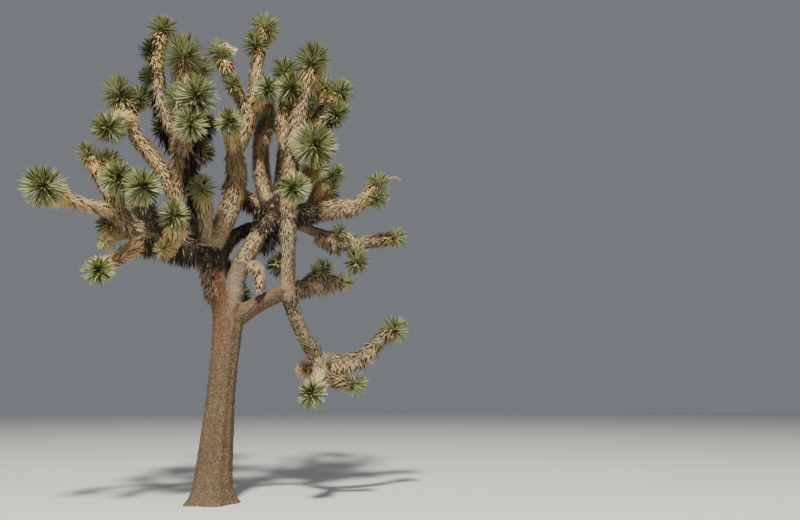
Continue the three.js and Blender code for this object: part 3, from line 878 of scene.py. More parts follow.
class NodeGroup(Nodes):
    """A shared group of nodes with inputs and one output."""

    def __init__(self, name: str, inputs: dict[str, tuple[str, object]], output: tuple[str, str]) -> None:
        """Start a group.

        Args:
            name: Its name.
            inputs: Each input's socket type and value.
            output: The output's name and socket type.
        """
        super().__init__(bpy.data.node_groups.new(name, "ShaderNodeTree"))
        for label, (kind, value) in inputs.items():
            socket = self.tree.interface.new_socket(label, in_out="INPUT", socket_type=f"NodeSocket{kind}")
            if value is not None:
                socket.default_value = value
        self.tree.interface.new_socket(output[0], in_out="OUTPUT", socket_type=f"NodeSocket{output[1]}")
        self.inputs = self.tree.nodes.new("NodeGroupInput").outputs
        self.result = self.tree.nodes.new("NodeGroupOutput").inputs[output[0]]

    def put(self, socket: Socket) -> None:
        """Send a socket to the group's output."""
        self.tree.links.new(socket, self.result)


@dataclass(frozen=True)
class SharedEffects:
    """The two node groups that every material of the tree uses.

    Attributes:
        blotches: Two tones that change over in soft blotches.
        fibres: Fine streaks that run along the third axis of a place.
    """

    blotches: bpy.types.NodeTree
    fibres: bpy.types.NodeTree

    @classmethod
    def make(cls) -> "SharedEffects":
        """Build both groups."""
        return cls(cls.make_blotches(), cls.make_fibres())

    @staticmethod
    def make_blotches() -> bpy.types.NodeTree:
        """Build the group of soft blotches.

        Returns:
            The group's tree.
        """
        colour = ("Color", (0.5, 0.5, 0.5, 1))
        inputs = {"Place": ("Vector", None), "Scale": ("Float", 6.0), "First": colour, "Second": colour}
        group = NodeGroup("soft blotches", inputs, ("Color", "Color"))
        noise = group.noise(group.inputs["Place"], group.inputs["Scale"], 3.0, 0.6)
        group.put(group.mix(group.ramp(noise, 0.36, 0.64), group.inputs["First"], group.inputs["Second"]))
        return group.tree

    @staticmethod
    def make_fibres() -> bpy.types.NodeTree:
        """Build the group of fine streaks.

        Returns:
            The group's tree.
        """
        inputs = {"Place": ("Vector", None), "Across": ("Float", 260.0), "Along": ("Float", 30.0)}
        group = NodeGroup("dry fibres", inputs, ("Height", "Float"))
        across = group.inputs["Across"]
        scale = group.add("CombineXYZ", {"X": across, "Y": across, "Z": group.inputs["Along"]})
        group.put(group.noise(group.scaled(group.inputs["Place"], scale.outputs["Vector"]), 1.0, 2.0))
        return group.tree


class Surface(Nodes):
    """A material whose nodes are put together step by step."""

    def __init__(self, name: str, tone: Vector, roughness: float, gloss: float) -> None:
        """Start a material.

        Args:
            name: Its name.
            tone: Its main colour.
            roughness: How rough it is.
            gloss: How much it reflects.
        """
        self.material = bpy.data.materials.new(name)
        self.material.use_nodes = True
        self.material.diffuse_color = (*tone, 1)
        super().__init__(self.material.node_tree)
        self.shader = self.tree.nodes["Principled BSDF"].inputs
        self.shader["Base Color"].default_value = (*tone, 1)
        self.shader["Roughness"].default_value = roughness
        self.shader["Specular IOR Level"].default_value = gloss

    def spots(
        self, effects: SharedEffects, place: Socket, scale: float, first: Vector, second: Vector
    ) -> Socket:
        """Two tones in soft blotches.

        Args:
            effects: The shared groups.
            place: The place on the surface.
            scale: How many blotches there are to a metre.
            first: One tone.
            second: The other tone.

        Returns:
            The colour.
        """
        links = {"Place": place, "Scale": scale, "First": (*first, 1), "Second": (*second, 1)}
        return self.add("Group", links, node_tree=effects.blotches).outputs["Color"]

    def roughen(
        self,
        effects: SharedEffects,
        place: Socket,
        streaks: tuple[float, float],
        strength: float,
        depth: float,
    ) -> None:
        """Give the surface a relief of fine streaks.

        Args:
            effects: The shared groups.
            place: The place on the surface.
            streaks: How many streaks there are to a metre, across and along.
            strength: How strong the relief is.
            depth: How deep it is, in metres.
        """
        links = {"Place": place, "Across": streaks[0], "Along": streaks[1]}
        height = self.add("Group", links, node_tree=effects.fibres).outputs["Height"]
        bump = self.add("Bump", {"Height": height, "Strength": strength, "Distance": depth})
        self.tree.links.new(bump.outputs["Normal"], self.shader["Normal"])


@dataclass(frozen=True)
class LeafFinish:
    """The finish of one colour of leaves.

    Attributes:
        name: The material's name.
        tone: Its main colour.
        other: The colour that its blotches turn to.
        roughness: How rough it is.
    """

    name: str
    tone: Vector
    other: Vector
    roughness: float

    def make(self, effects: SharedEffects) -> bpy.types.Material:
        """Build the material.

        Args:
            effects: The shared groups.

        Returns:
            The material.
        """
        surface = Surface(self.name, self.tone, self.roughness, 0.35)
        place = surface.add("TexCoord").outputs["Object"]
        colour = surface.spots(effects, place, 9.0, self.tone, self.other)
        surface.tree.links.new(colour, surface.shader["Base Color"])
        surface.roughen(effects, place, (260.0, 30.0), 0.25, 0.002)
        return surface.material


@dataclass(frozen=True)
class BarkFinish:
    """The finish of the trunk and the limbs.

    Attributes:
        crown: The colour of the plates' faces.
        groove: The colour of painted shade in the grooves between them.
        fleck: The colour of the light specks.
        smooth: The colour of the smooth grey bark.
        flake: The colour of the flaked limbs.
        rust: The colour of the red-brown stain.
        plates: How many plates there are to a metre, across and along.
        rings: How many wrinkles of smooth bark there are to a metre, across and along.
    """

    crown: Vector = (0.24, 0.17, 0.103)
    groove: Vector = (0.07, 0.045, 0.027)
    fleck: Vector = (0.45, 0.35, 0.22)
    smooth: Vector = (0.25, 0.193, 0.137)
    flake: Vector = (0.3, 0.22, 0.125)
    rust: Vector = (0.3, 0.105, 0.026)
    plates: Vector = (42.0, 42.0, 23.0)
    rings: Vector = (11.0, 11.0, 90.0)

    def make(self, effects: SharedEffects) -> bpy.types.Material:
        """Build the material, which reads what the carving left on the mesh.

        Args:
            effects: The shared groups.

        Returns:
            The material.
        """
        surface = Surface("bark", self.crown, 0.93, 0.2)
        place = surface.attribute("bark_place", "Vector")
        flaked, smooth, rust, groove = (
            surface.attribute(f"bark_{label}") for label in ("flaked", "smooth", "rust", "groove")
        )
        tones = ((7.0, self.crown, 0.72), (16.0, self.flake, 0.66), (5.0, self.smooth, 0.8))
        cork, flake, grey = (
            surface.spots(effects, place, scale, tone, tuple(v * dark for v in tone))
            for scale, tone, dark in tones
        )
        colour = surface.mix(smooth, surface.mix(flaked, cork, flake), grey)
        colour = surface.mix(rust, colour, (*self.rust, 1))
        flecks = surface.ramp(surface.noise(place, 62.0, 1.5), 0.58, 0.68)
        colour = surface.mix(surface.math("MULTIPLY", flecks, 0.7), colour, (*self.fleck, 1))
        other = surface.math("ADD", flaked, smooth)
        corky = surface.math("SUBTRACT", 1.0, other)
        # Painted shade in the grooves, cracks and wrinkles of the bark.
        for mask in (groove, self.cracks(surface, place, corky), self.wrinkles(surface, place, smooth)):
            colour = surface.mix(mask, colour, (*self.groove, 1))
        surface.tree.links.new(colour, surface.shader["Base Color"])
        surface.roughen(effects, place, (90.0, 35.0), 0.7, 0.008)
        return surface.material

    def cracks(self, surface: Surface, place: Socket, corky: Socket) -> Socket:
        """The cracks between small upright plates on corky bark.

        Args:
            surface: The material.
            place: The place on the bark.
            corky: How corky it is there.

        Returns:
            How much painted shade darkens it there.
        """
        links = {"Vector": surface.scaled(place, self.plates), "Scale": 1.0}
        plates = surface.add("TexVoronoi", links, feature="DISTANCE_TO_EDGE")
        return surface.math("MULTIPLY", surface.ramp(plates.outputs["Distance"], 0.0, 0.17, 0.85, 0.0), corky)

    def wrinkles(self, surface: Surface, place: Socket, smooth: Socket) -> Socket:
        """The fine lines that run round smooth bark.

        Args:
            surface: The material.
            place: The place on the bark.
            smooth: How smooth it is there.

        Returns:
            How much painted shade darkens it there.
        """
        lines = surface.noise(surface.scaled(place, self.rings), 1.0, 3.0)
        return surface.math("MULTIPLY", surface.ramp(lines, 0.5, 0.72, 0.0, 0.75), smooth)


@dataclass
class Bark:
    """The relief of the trunk and limbs: tubes melted together, then carved.

    Attributes:
        skeleton: The grown limbs, stems and rosettes.
        material: The bark's material.
        sides: Sides of each raw tube.
        trunk_sides: Sides of the raw trunk.
        trunk_ring: Spacing of its rings, in metres.
        below_ground: How far it reaches below the ground before it is cut, in metres.
        ring: Spacing of a raw tube's rings, in metres.
        core_share: How much of a thatched limb's radius is wood.
        waviness: How much a limb's radius changes along it, as a share.
        collar: How much a limb swells where it leaves another, as a share.
        collar_fade: Length over which that fades, in metres.
        plate_depth: Depth of the grooves between corky plates, in metres.
        flake_depth: Depth of the flakes, in metres.
        wrinkle_depth: Depth of the fine rings on smooth bark, in metres.
        plate_cells: Corky plates to a metre: across, sideways and along.
        chip_cells: Small chips on them to a metre.
        flake_cells: Flakes to a metre.
        seam_rounds: How often values are spread where two limbs meet.
        inset: How much less a limb's radius is than its solid's before it is carved, in metres.
        trunk_inset: The same of the trunk.
        smooth_to: Share of center_bough's length below which it is smooth.
        smooth_fade: Share over which that fades.
        fork_height: Height above which the right of the trunk is smooth, in metres.
        fork_fade: Height over which that begins, in metres.
        fork_right: How far right of the origin that is, in metres.
        fork_smoothness: How smooth it gets there.
    """

    skeleton: Skeleton
    material: bpy.types.Material
    sides: int = 20
    trunk_sides: int = 60
    trunk_ring: float = 0.03
    below_ground: float = 0.09
    ring: float = 0.05
    core_share: float = 0.9
    waviness: float = 0.035
    collar: float = 0.24
    collar_fade: float = 0.1
    plate_depth: float = 0.011
    flake_depth: float = 0.012
    wrinkle_depth: float = 0.003
    plate_cells: Vector = (40, 40, 24)
    chip_cells: Vector = (66, 66, 36)
    flake_cells: Vector = (42, 42, 24)
    seam_rounds: int = 14
    inset: float = 0.004
    trunk_inset: float = 0.002
    smooth_to: float = 0.52
    smooth_fade: float = 0.16
    fork_height: float = 2.62
    fork_fade: float = 0.2
    fork_right: float = 0.02
    fork_smoothness: float = 0.7

    def raw_tube(self, tube: Tube, flare: bool) -> Shape:
        """A closed tube with a rounded end, a little swollen where it leaves what it grows from.

        Args:
            tube: The limb or stem.
            flare: Whether it swells at its start.

        Returns:
            Its vertices and faces.
        """
        length = tube.course.length()
        share = np.linspace(0, 1, max(4, int(length / self.ring)) + 1)
        radius = tube.radius(share) * (1 + self.waviness * np.sin(share * 11 + len(tube.name)))
        if flare:
            past = np.maximum(share * length - tube.sunk * 0.8, 0)
            radius = radius * (1 + self.collar * np.exp(-past / self.collar_fade))
        centre = tube.course.point(share)
        across, sideways, along = tube.course.frame(share)
        dome = np.array([0.5, 0.8, 0.95])
        tail = float(radius[-1])
        centre = np.vstack([centre, centre[-1] + along[-1] * dome[:, None] * tail * 0.7])
        radius = np.concatenate([radius, tail * np.sqrt(1 - dome**2)])
        across, sideways = (np.vstack([side, np.repeat(side[-1:], 3, axis=0)]) for side in (across, sideways))
        angle = np.arange(self.sides) * FULL_TURN / self.sides
        return close_rings(rings_round(centre, across, sideways, angle, radius[:, None]))

    def raw_trunk(self) -> Shape:
        """The trunk's closed tube, which starts a little below the ground.

        Returns:
            Its vertices and faces.
        """
        heights = np.arange(-self.below_ground, TRUNK_TOP, self.trunk_ring)
        angle = -np.arange(self.trunk_sides) * FULL_TURN / self.trunk_sides
        course = self.skeleton.limbs["trunk"].course
        centre = course.point(np.maximum(heights, 0) / TRUNK_TOP)
        centre[:, 2] = heights
        grid_height, grid_angle = np.meshgrid(heights, angle, indexing="ij")
        radius = self.skeleton.trunk_radius(np.maximum(grid_height, 0), grid_angle) - self.trunk_inset
        across = unit(np.array(course.reference) * (1, 1, 0))
        sideways = np.array([across[1], -across[0], 0.0])
        return close_rings(rings_round(centre, across[None], sideways[None], angle, radius))

    @staticmethod
    def join(parts: list[Shape]) -> Shape:
        """Join several tubes into one mesh.

        Args:
            parts: Vertices and faces of each.

        Returns:
            Vertices and faces of all.
        """
        starts = np.cumsum([0] + [len(points) for points, _ in parts])
        faces = [np.vstack([part[1][k] + start for part, start in zip(parts, starts)]) for k in (0, 1)]
        return np.vstack([points for points, _ in parts]), faces

    @staticmethod
    def melt(made: bpy.types.Object, voxel: float, rounds: int) -> None:
        """Melt overlapping tubes into one even skin and round off where they meet.

        Args:
            made: The object with the tubes.
            voxel: The size of the skin's faces, in metres.
            rounds: How often it is smoothed.
        """
        melting = made.modifiers.new("melt", "REMESH")
        melting.mode = "VOXEL"
        melting.voxel_size = voxel
        rounding = made.modifiers.new("round", "SMOOTH")
        rounding.factor = 0.5
        rounding.iterations = rounds
        shown = made.evaluated_get(bpy.context.evaluated_depsgraph_get())
        mesh = bpy.data.meshes.new_from_object(shown)
        made.modifiers.clear()
        old = made.data
        made.data = mesh
        bpy.data.meshes.remove(old)

    @staticmethod
    def places(points: np.ndarray, tubes: list[Tube]) -> tuple[np.ndarray, np.ndarray, np.ndarray]:
        """Where each point lies on its nearest tube.

        Args:
            points: Points on the bark.
            tubes: The tubes that they may belong to.

        Returns:
            For each point its place across, sideways and along, its tube's number and its share
            of that tube's length.
        """
        spacing = 0.03
        rows = []
        for number, tube in enumerate(tubes):
            length = tube.course.length()
            share = np.linspace(min(0.9, tube.sunk * 0.85 / length), 1, max(4, int(length / spacing)))
            sides = tube.course.frame(share)[:2]
            owner = np.full(len(share), number)
            rows.append((tube.course.point(share), *sides, share * length, owner, share))
        samples, across, sideways, along, owner, share = (np.concatenate(column) for column in zip(*rows))
        squares = (samples**2).sum(axis=1)
        block = 20000
        nearest = np.empty(len(points), dtype=int)
        for start in range(0, len(points), block):
            part = points[start : start + block]
            nearest[start : start + block] = (squares - 2 * part @ samples.T).argmin(axis=1)
        across, sideways = across[nearest], sideways[nearest]
        radial = points - samples[nearest]
        place = [(radial * side).sum(axis=1) for side in (across, sideways, np.cross(across, sideways))]
        apart = 3.7
        place[2] += along[nearest] + owner[nearest] * apart
        return np.stack(place, axis=1), owner[nearest], share[nearest]

    def carve(self, made: bpy.types.Object, tubes: list[Tube]) -> None:
        """Carve plates, wrinkles and flakes into the skin and note on it where they are.

        Args:
            made: The melted skin.
            tubes: The tubes that it was made from.
        """
        mesh = made.data
        points, normals = (np.empty(len(mesh.vertices) * 3, dtype=np.float32) for _ in range(2))
        mesh.vertices.foreach_get("co", points)
        mesh.vertices.foreach_get("normal", normals)
        points, normals = (values.reshape(-1, 3).astype(float) for values in (points, normals))
        place, owner, share = self.places(points, tubes)
        names = np.array([tube.name for tube in tubes])[owner]
        corky, smooth = self.skins(points, names, share)
        seam, corky, smooth = self.blur(mesh, [self.seams(mesh, owner), corky, smooth])
        flaked = np.clip(1 - corky - smooth, 0, 1)
        calm = 1 - 0.8 * np.clip(seam * 4, 0, 1)
        warp = 0.35 * np.stack([soft_noise(place * 9, 31 + k) for k in range(3)], axis=1)
        # groove gathers painted shade in the grooves between plates, in wrinkles and between flakes.
        relief, groove = np.zeros(len(points)), np.zeros(len(points))
        for share_of, carving in ((corky, self.cork), (smooth, self.smooth_bark), (flaked, self.flakes)):
            depth, dark = carving(place, warp)
            relief += share_of * depth * calm
            groove += share_of * dark * calm
        points += normals * relief[:, None]
        mesh.vertices.foreach_set("co", points.astype(np.float32).ravel())
        self.note(mesh, "bark_place", place)
        noted = {"groove": groove, "flaked": flaked, "smooth": smooth, "rust": self.rust(points, names)}
        for label, values in noted.items():
            self.note(mesh, f"bark_{label}", values)
        mesh.update()

    def skins(
        self, points: np.ndarray, names: np.ndarray, share: np.ndarray
    ) -> tuple[np.ndarray, np.ndarray]:
        """How corky and how smooth the bark is.

        Args:
            points: Points on the bark.
            names: The limb or mass of each.
            share: The share of its length at each.

        Returns:
            Two shares from 0 to 1 for each point. The rest is flaked.
        """
        kinds = {size.name: size.skin for size in LIMBS}
        corky, smooth = (
            np.isin(names, [name for name, kind in kinds.items() if kind is skin]).astype(float)
            for skin in (Skin.CORKY, Skin.SMOOTH)
        )
        low_centre = (names == "center_bough") * np.clip((self.smooth_to - share) / self.smooth_fade, 0, 1)
        fork = (names == "trunk") * np.clip((points[:, 2] - self.fork_height) / self.fork_fade, 0, 1)
        fork *= points[:, 0] > self.fork_right
        smooth = np.clip(smooth + low_centre + fork * self.fork_smoothness, 0, 1)
        return corky * (1 - smooth), smooth

    def cork(self, place: np.ndarray, warp: np.ndarray) -> tuple[np.ndarray, np.ndarray]:
        """Corky plates with furrows between them.

        Args:
            place: Places on the bark.
            warp: How far the pattern is pushed aside there.

        Returns:
            The height of the relief in metres and how much painted shade darkens its grooves.
        """
        edge, _, label = cells(place * self.plate_cells + warp, 3)
        fine_edge, _, fine_label = cells(place * self.chip_cells + warp, 11)
        plates = np.clip(1 - edge / 0.3, 0, 1) * 0.8 + np.clip(1 - fine_edge / 0.25, 0, 1) * 0.3
        relief = -self.plate_depth * plates + 0.006 * (label - 0.5) + 0.002 * (fine_label - 0.5)
        relief += 0.004 * soft_noise(place * (9, 9, 1.3), 17, 2)
        return relief, np.clip(plates * 0.6, 0, 1)

    def smooth_bark(self, place: np.ndarray, _: np.ndarray) -> tuple[np.ndarray, np.ndarray]:
        """Fine rings and pores on smooth bark.

        Args:
            place: Places on the bark.
            _: Not used by this pattern.

        Returns:
            The height of the relief in metres and how much painted shade darkens its grooves.
        """
        wrinkles = soft_noise(place * (7, 7, 85), 23, 2)
        pores = soft_noise(place * (60, 60, 45), 27)
        relief = self.wrinkle_depth * (wrinkles + 0.8 * pores) + 0.007 * soft_noise(place * 7, 29, 2)
        return relief, np.clip(-wrinkles * 0.45 - pores * 0.2, 0, 0.5)

    def flakes(self, place: np.ndarray, warp: np.ndarray) -> tuple[np.ndarray, np.ndarray]:
        """Flakes that lie over each other like shingles.

        Args:
            place: Places on the bark.
            warp: How far the pattern is pushed aside there.

        Returns:
            The height of the relief in metres and how much painted shade darkens its grooves.
        """
        edge, below, label = cells(place * self.flake_cells + warp * 0.7, 41)
        shingle = np.clip(below + 0.5, 0, 1.2)
        relief = self.flake_depth * (shingle - 0.5 - 0.7 * np.clip(1 - edge / 0.25, 0, 1))
        return relief + 0.005 * (label - 0.5), np.clip(1 - edge / 0.2, 0, 1) * 0.4

    @staticmethod
    def edge_ends(mesh: bpy.types.Mesh) -> tuple[np.ndarray, np.ndarray]:
        """The two vertex numbers of every edge of a mesh."""
        ends = np.empty(len(mesh.edges) * 2, dtype=np.int32)
        mesh.edges.foreach_get("vertices", ends)
        return ends[0::2], ends[1::2]

    def seams(self, mesh: bpy.types.Mesh, owner: np.ndarray) -> np.ndarray:
        """Where two tubes meet in the skin.

        Args:
            mesh: The skin.
            owner: The number of each vertex's tube.

        Returns:
            1 for each vertex beside another tube's, and 0 elsewhere.
        """
        first, second = self.edge_ends(mesh)
        differ = owner[first] != owner[second]
        seam = np.zeros(len(owner))
        seam[first[differ]] = 1
        seam[second[differ]] = 1
        return seam

    def blur(self, mesh: bpy.types.Mesh, values: list[np.ndarray]) -> list[np.ndarray]:
        """Spread values over a mesh so that they change evenly.

        Args:
            mesh: The mesh.
            values: Lists of one number for each vertex.

        Returns:
            The spread lists.
        """
        first, second = self.edge_ends(mesh)
        count = len(mesh.vertices)
        shared = np.maximum(np.bincount(first, minlength=count) + np.bincount(second, minlength=count), 1)
        spread = []
        for value in values:
            for _ in range(self.seam_rounds):
                near = np.bincount(first, value[second], count) + np.bincount(second, value[first], count)
                value = 0.4 * value + 0.6 * near / shared
            spread.append(value)
        return spread

    @staticmethod
    def rust(points: np.ndarray, names: np.ndarray) -> np.ndarray:
        """How red-brown the stained bark is on the front left of the fork.

        Args:
            points: Points on the bark.
            names: The limb that each belongs to.

        Returns:
            Shares from 0 to 1.
        """
        ragged = 0.35 * soft_noise(points * (14, 14, 5), 53, 2)
        stained = np.zeros(len(points))
        for middle, reach, rim, strength in RUST_SPOTS:
            gap = np.linalg.norm((points - middle) / reach, axis=1)
            stained = np.maximum(stained, strength * np.clip(rim - gap + ragged, 0, 1))
        return stained * np.isin(names, ("left_stem", "trunk"))

    @staticmethod
    def note(mesh: bpy.types.Mesh, name: str, values: np.ndarray) -> None:
        """Store values on a mesh's vertices.

        Args:
            mesh: The mesh.
            name: The name to store them under.
            values: A number or three for each vertex.
        """
        kind, label = ("FLOAT_VECTOR", "vector") if values.ndim == 2 else ("FLOAT", "value")
        stored = mesh.attributes.new(name, kind, "POINT")
        stored.data.foreach_set(label, values.astype(np.float32).ravel())

    @staticmethod
    def cut_at_ground(made: bpy.types.Object) -> None:
        """Cut off what lies below the ground and close the foot with one flat face.

        Args:
            made: The trunk's skin.
        """
        edit = bmesh.new()
        edit.from_mesh(made.data)
        everything = edit.verts[:] + edit.edges[:] + edit.faces[:]
        ground, down = (0, 0, 0), (0, 0, -1)
        bmesh.ops.bisect_plane(
            edit, geom=everything, plane_co=ground, plane_no=down, clear_outer=True, dist=1e-5
        )
        rim = [edge for edge in edit.edges if edge.is_boundary]
        bmesh.ops.holes_fill(edit, edges=rim, sides=0)
        edit.to_mesh(made.data)
        edit.free()

    def build(self) -> None:
        """Build every piece of bark."""
        limbs = self.skeleton.limbs
        thick_names = ["trunk", "left_stem", "center_bough", "right_elbow"]
        bough_names = [
            "middle_bough", "left_crown_stem", "west_bough", "right_riser", "right_spire", "center_spire",
            "center_right_spire", "back_bough", "back_bough_end", "hanging_stub", "drooping_bough",
        ]
        arm_names = [name for name in limbs if name not in thick_names + bough_names]
        for label, names, stems, voxel, rounds in (
            ("bark_trunk", thick_names, [], 0.0101, 5),
            ("bark_boughs", bough_names, [], 0.0135, 3),
            ("bark_arms", arm_names, self.skeleton.stems, 0.0195, 2),
        ):
            tubes = [self.slimmed(limbs[name]) for name in names]
            parts = [
                self.raw_trunk() if tube.name == "trunk" else self.raw_tube(tube, True) for tube in tubes
            ]
            bare_stems = [Tube(s.name, s.course, s.thick * 0.7, s.thin * 0.8, s.sunk) for s in stems]
            parts += [self.raw_tube(stem, False) for stem in bare_stems]
            made = mesh_object(label, self.join(parts), smooth=True)
            self.melt(made, voxel, rounds)
            self.carve(made, tubes + bare_stems)
            if "trunk" in names:
                self.cut_at_ground(made)
            made.data.polygons.foreach_set("use_smooth", np.full(len(made.data.polygons), True))
            declare(made, self.material, names)

    def slimmed(self, tube: Tube) -> Tube:
        """The wood of a limb, slimmer where dead leaves cover it.

        Args:
            tube: The limb.

        Returns:
            Its wood.
        """
        thatch_from = next(size.thatch_from for size in LIMBS if size.name == tube.name)
        thick = tube.thick * (self.core_share if thatch_from <= 0.1 else 1) - self.inset
        thin = tube.thin * (self.core_share if thatch_from < 1 else 1) - self.inset
        return Tube(tube.name, tube.course, thick, thin, tube.sunk)


@dataclass(frozen=True)
class Blade:
    """The faces of one kind of leaf, as numbers of its points.

    Attributes:
        points: How many points it has.
        quads: Its faces of four corners.
        triangles: Its faces of three corners.
        slot: The name of its material's slot, which is not used.
    """

    points: int
    quads: tuple[tuple[int, ...], ...]
    triangles: tuple[tuple[int, ...], ...]
    slot: str


BLADES = {
    "leaves": Blade(
        10, ((0, 1, 4, 3), (1, 2, 5, 4), (3, 4, 7, 6), (4, 5, 8, 7)), ((6, 7, 9), (7, 8, 9)), "leaf_rosettes"
    ),
    "thatch": Blade(5, ((0, 1, 2, 3),), ((3, 2, 4),), "dead_leaf_thatch"),
}


@dataclass
class LeafStore:
    """Leaves gathered by colour, to be joined into one mesh for each.

    Attributes:
        vertices: The blades of each colour, in groups.
    """

    vertices: dict[LeafKind, list[np.ndarray]] = field(default_factory=dict)

    def add(self, kind: LeafKind, blades: np.ndarray) -> None:
        """Keep blades of one colour and one pattern of points."""
        if len(blades):
            self.vertices.setdefault(kind, []).append(blades)

    def deal(self, blades: np.ndarray, draw: np.ndarray, limits: tuple, rest: LeafKind) -> None:
        """Deal blades out by colour.

        Args:
            blades: The blades.
            draw: A number for each.
            limits: Colours with the number up to which each reaches, in rising order.
            rest: The colour of what is left.
        """
        low = -math.inf
        for kind, high in limits:
            self.add(kind, blades[(draw >= low) & (draw < high)])
            low = high
        self.add(rest, blades[draw >= low])


def leaf_frame(roots: np.ndarray, tips: np.ndarray, facing: np.ndarray) -> tuple[np.ndarray, np.ndarray]:
    """The directions across each leaf and out of its face.

    Args:
        roots: Where each starts.
        tips: Where each ends.
        facing: Which way each faces.

    Returns:
        Both directions.
    """
    along = unit(tips - roots)
    side = unit(np.cross(along, facing))
    return side, np.cross(side, along)


def stiff_blades(
    roots: np.ndarray, tips: np.ndarray, facing: np.ndarray, width: np.ndarray, bow: np.ndarray
) -> np.ndarray:
    """Dagger-shaped blades, each folded a little along its middle.

    Args:
        roots: Where each starts.
        tips: Where each ends.
        facing: Which way the hollow side faces.
        width: The greatest width of each, in metres.
        bow: How far its middle bends away from the hollow side, in metres.

    Returns:
        Ten points for each blade.
    """
    side, upper = leaf_frame(roots, tips, facing)
    rows = []
    for share, spread in ((0.0, 0.8), (0.34, 1.0), (0.72, 0.66)):
        middle = roots + (tips - roots) * share - upper * (bow * 4 * share * (1 - share))[:, None]
        half = side * (width * 0.5 * spread)[:, None]
        fold = upper * (width * 0.16 * spread)[:, None]
        rows += [middle - half + fold, middle - fold, middle + half + fold]
    return np.stack([*rows, tips], axis=1)


def dry_blades(roots: np.ndarray, tips: np.ndarray, facing: np.ndarray, width: np.ndarray) -> np.ndarray:
    """Flat dead leaves with a bend in the middle.

    Args:
        roots: Where each starts.
        tips: Where each ends.
        facing: Which way each faces.
        width: The greatest width of each, in metres.

    Returns:
        Five points for each leaf.
    """
    side, upper = leaf_frame(roots, tips, facing)
    bend = np.linalg.norm(tips - roots, axis=1) * 0.07
    middle = roots + (tips - roots) * 0.5 + upper * bend[:, None]
    half = side * (width * 0.5)[:, None]
    return np.stack([roots - half * 0.8, roots + half * 0.8, middle + half, middle - half, tips], axis=1)


@dataclass
class Rosettes:
    """The live leaves at the ends of the stems.

    Attributes:
        skeleton: The grown limbs, stems and rosettes.
        leaves_to_area: Leaves for each square metre of a rosette's radius squared.
        least_leaves: Leaves that even a small rosette has.
        width: Width of a leaf, in metres.
        reach: How long a leaf is, in radii.
        furthest: How far from the middle a tip may be, in radii.
        least_lean: Angle of the youngest leaves from the stem's direction, in degrees.
        withered_lean: The same of a withered rosette.
        steepest: The same of the oldest leaves.
        painted_shade_share: Share of the green leaves given the dark green of painted shade, for dark gaps
            between the lit leaves.
    """

    skeleton: Skeleton
    leaves_to_area: float = 4200
    least_leaves: float = 90
    width: float = 0.022
    reach: float = 1.16
    furthest: float = 1.3
    least_lean: float = 7
    withered_lean: float = 58
    steepest: float = 148
    painted_shade_share: float = 0.23

    def build(self, store: LeafStore) -> int:
        """Grow every rosette and count its leaves."""
        return sum(self.grow(head, store) for head in self.skeleton.heads)

    def grow(self, head: Head, store: LeafStore) -> int:
        """Grow one rosette, whose older leaves stand lower on the stem and lean back.

        Args:
            head: Where it is.
            store: Where the blades are kept.

        Returns:
            How many leaves it has.
        """
        rng = np.random.default_rng(HEAD_SEED + head.seed)
        count = int(self.least_leaves + self.leaves_to_area * head.radius**2)
        age = (np.arange(count) + 0.5) / count
        spin = np.arange(count) * GOLDEN_ANGLE + rng.normal(0, 0.2, count)
        least = self.withered_lean if head.withered else self.least_lean
        lean = np.radians(least + (self.steepest - least) * age**0.78 + rng.normal(0, 5, count))
        cosine, sine = np.cos(lean), np.sin(lean)
        reference = np.array([0.2, 0.9, 0.1]) if abs(head.axis[1]) < 0.8 else np.array([1.0, 0.1, 0.2])
        first = unit(np.cross(head.axis, reference))
        second = np.cross(head.axis, first)
        outward = first * np.cos(spin)[:, None] + second * np.sin(spin)[:, None]
        pointing = head.axis * cosine[:, None] + outward * sine[:, None]
        height = (0.16 - 0.78 * age) * head.radius
        roots = head.centre + head.axis * height[:, None] + outward * (0.13 * head.radius * sine)[:, None]
        length = head.radius * self.reach * rng.uniform(0.86, 1.06, count)
        length *= np.interp(age, (0, 0.12, 0.3, 0.8, 1), (0.72, 0.86, 0.98, 1.0, 0.9))
        tips = roots + pointing * length[:, None]
        tips[:, 2] -= 0.16 * head.radius * age * np.clip(sine, 0, 1)
        away = tips - head.centre
        too_far = np.maximum(np.linalg.norm(away, axis=1) / (head.radius * self.furthest), 1)
        tips = head.centre + away / too_far[:, None]
        facing = head.axis * (sine + 0.15)[:, None] - outward * cosine[:, None]
        width = self.width * (0.8 + 0.9 * head.radius) * rng.uniform(0.75, 1.15, count)
        blades = stiff_blades(roots, tips, facing, width, length * 0.035 * rng.uniform(-0.4, 1.2, count))
        kinds = age + rng.normal(0, 0.17, count) + head.dryness * 0.4 + (0.75 if head.withered else 0)
        green = kinds < dict(LEAF_AGES)[GREENS[-1]]
        # Leaves of shaded rosettes and a random share of the other green leaves get the dark green of painted
        # shade.
        dark = green & (head.shaded | (rng.uniform(0, 1, count) < self.painted_shade_share))
        store.add(LeafKind.SHADE, blades[dark])
        store.deal(blades[~dark], kinds[~dark], LEAF_AGES, LeafKind.STRAW)
        return count


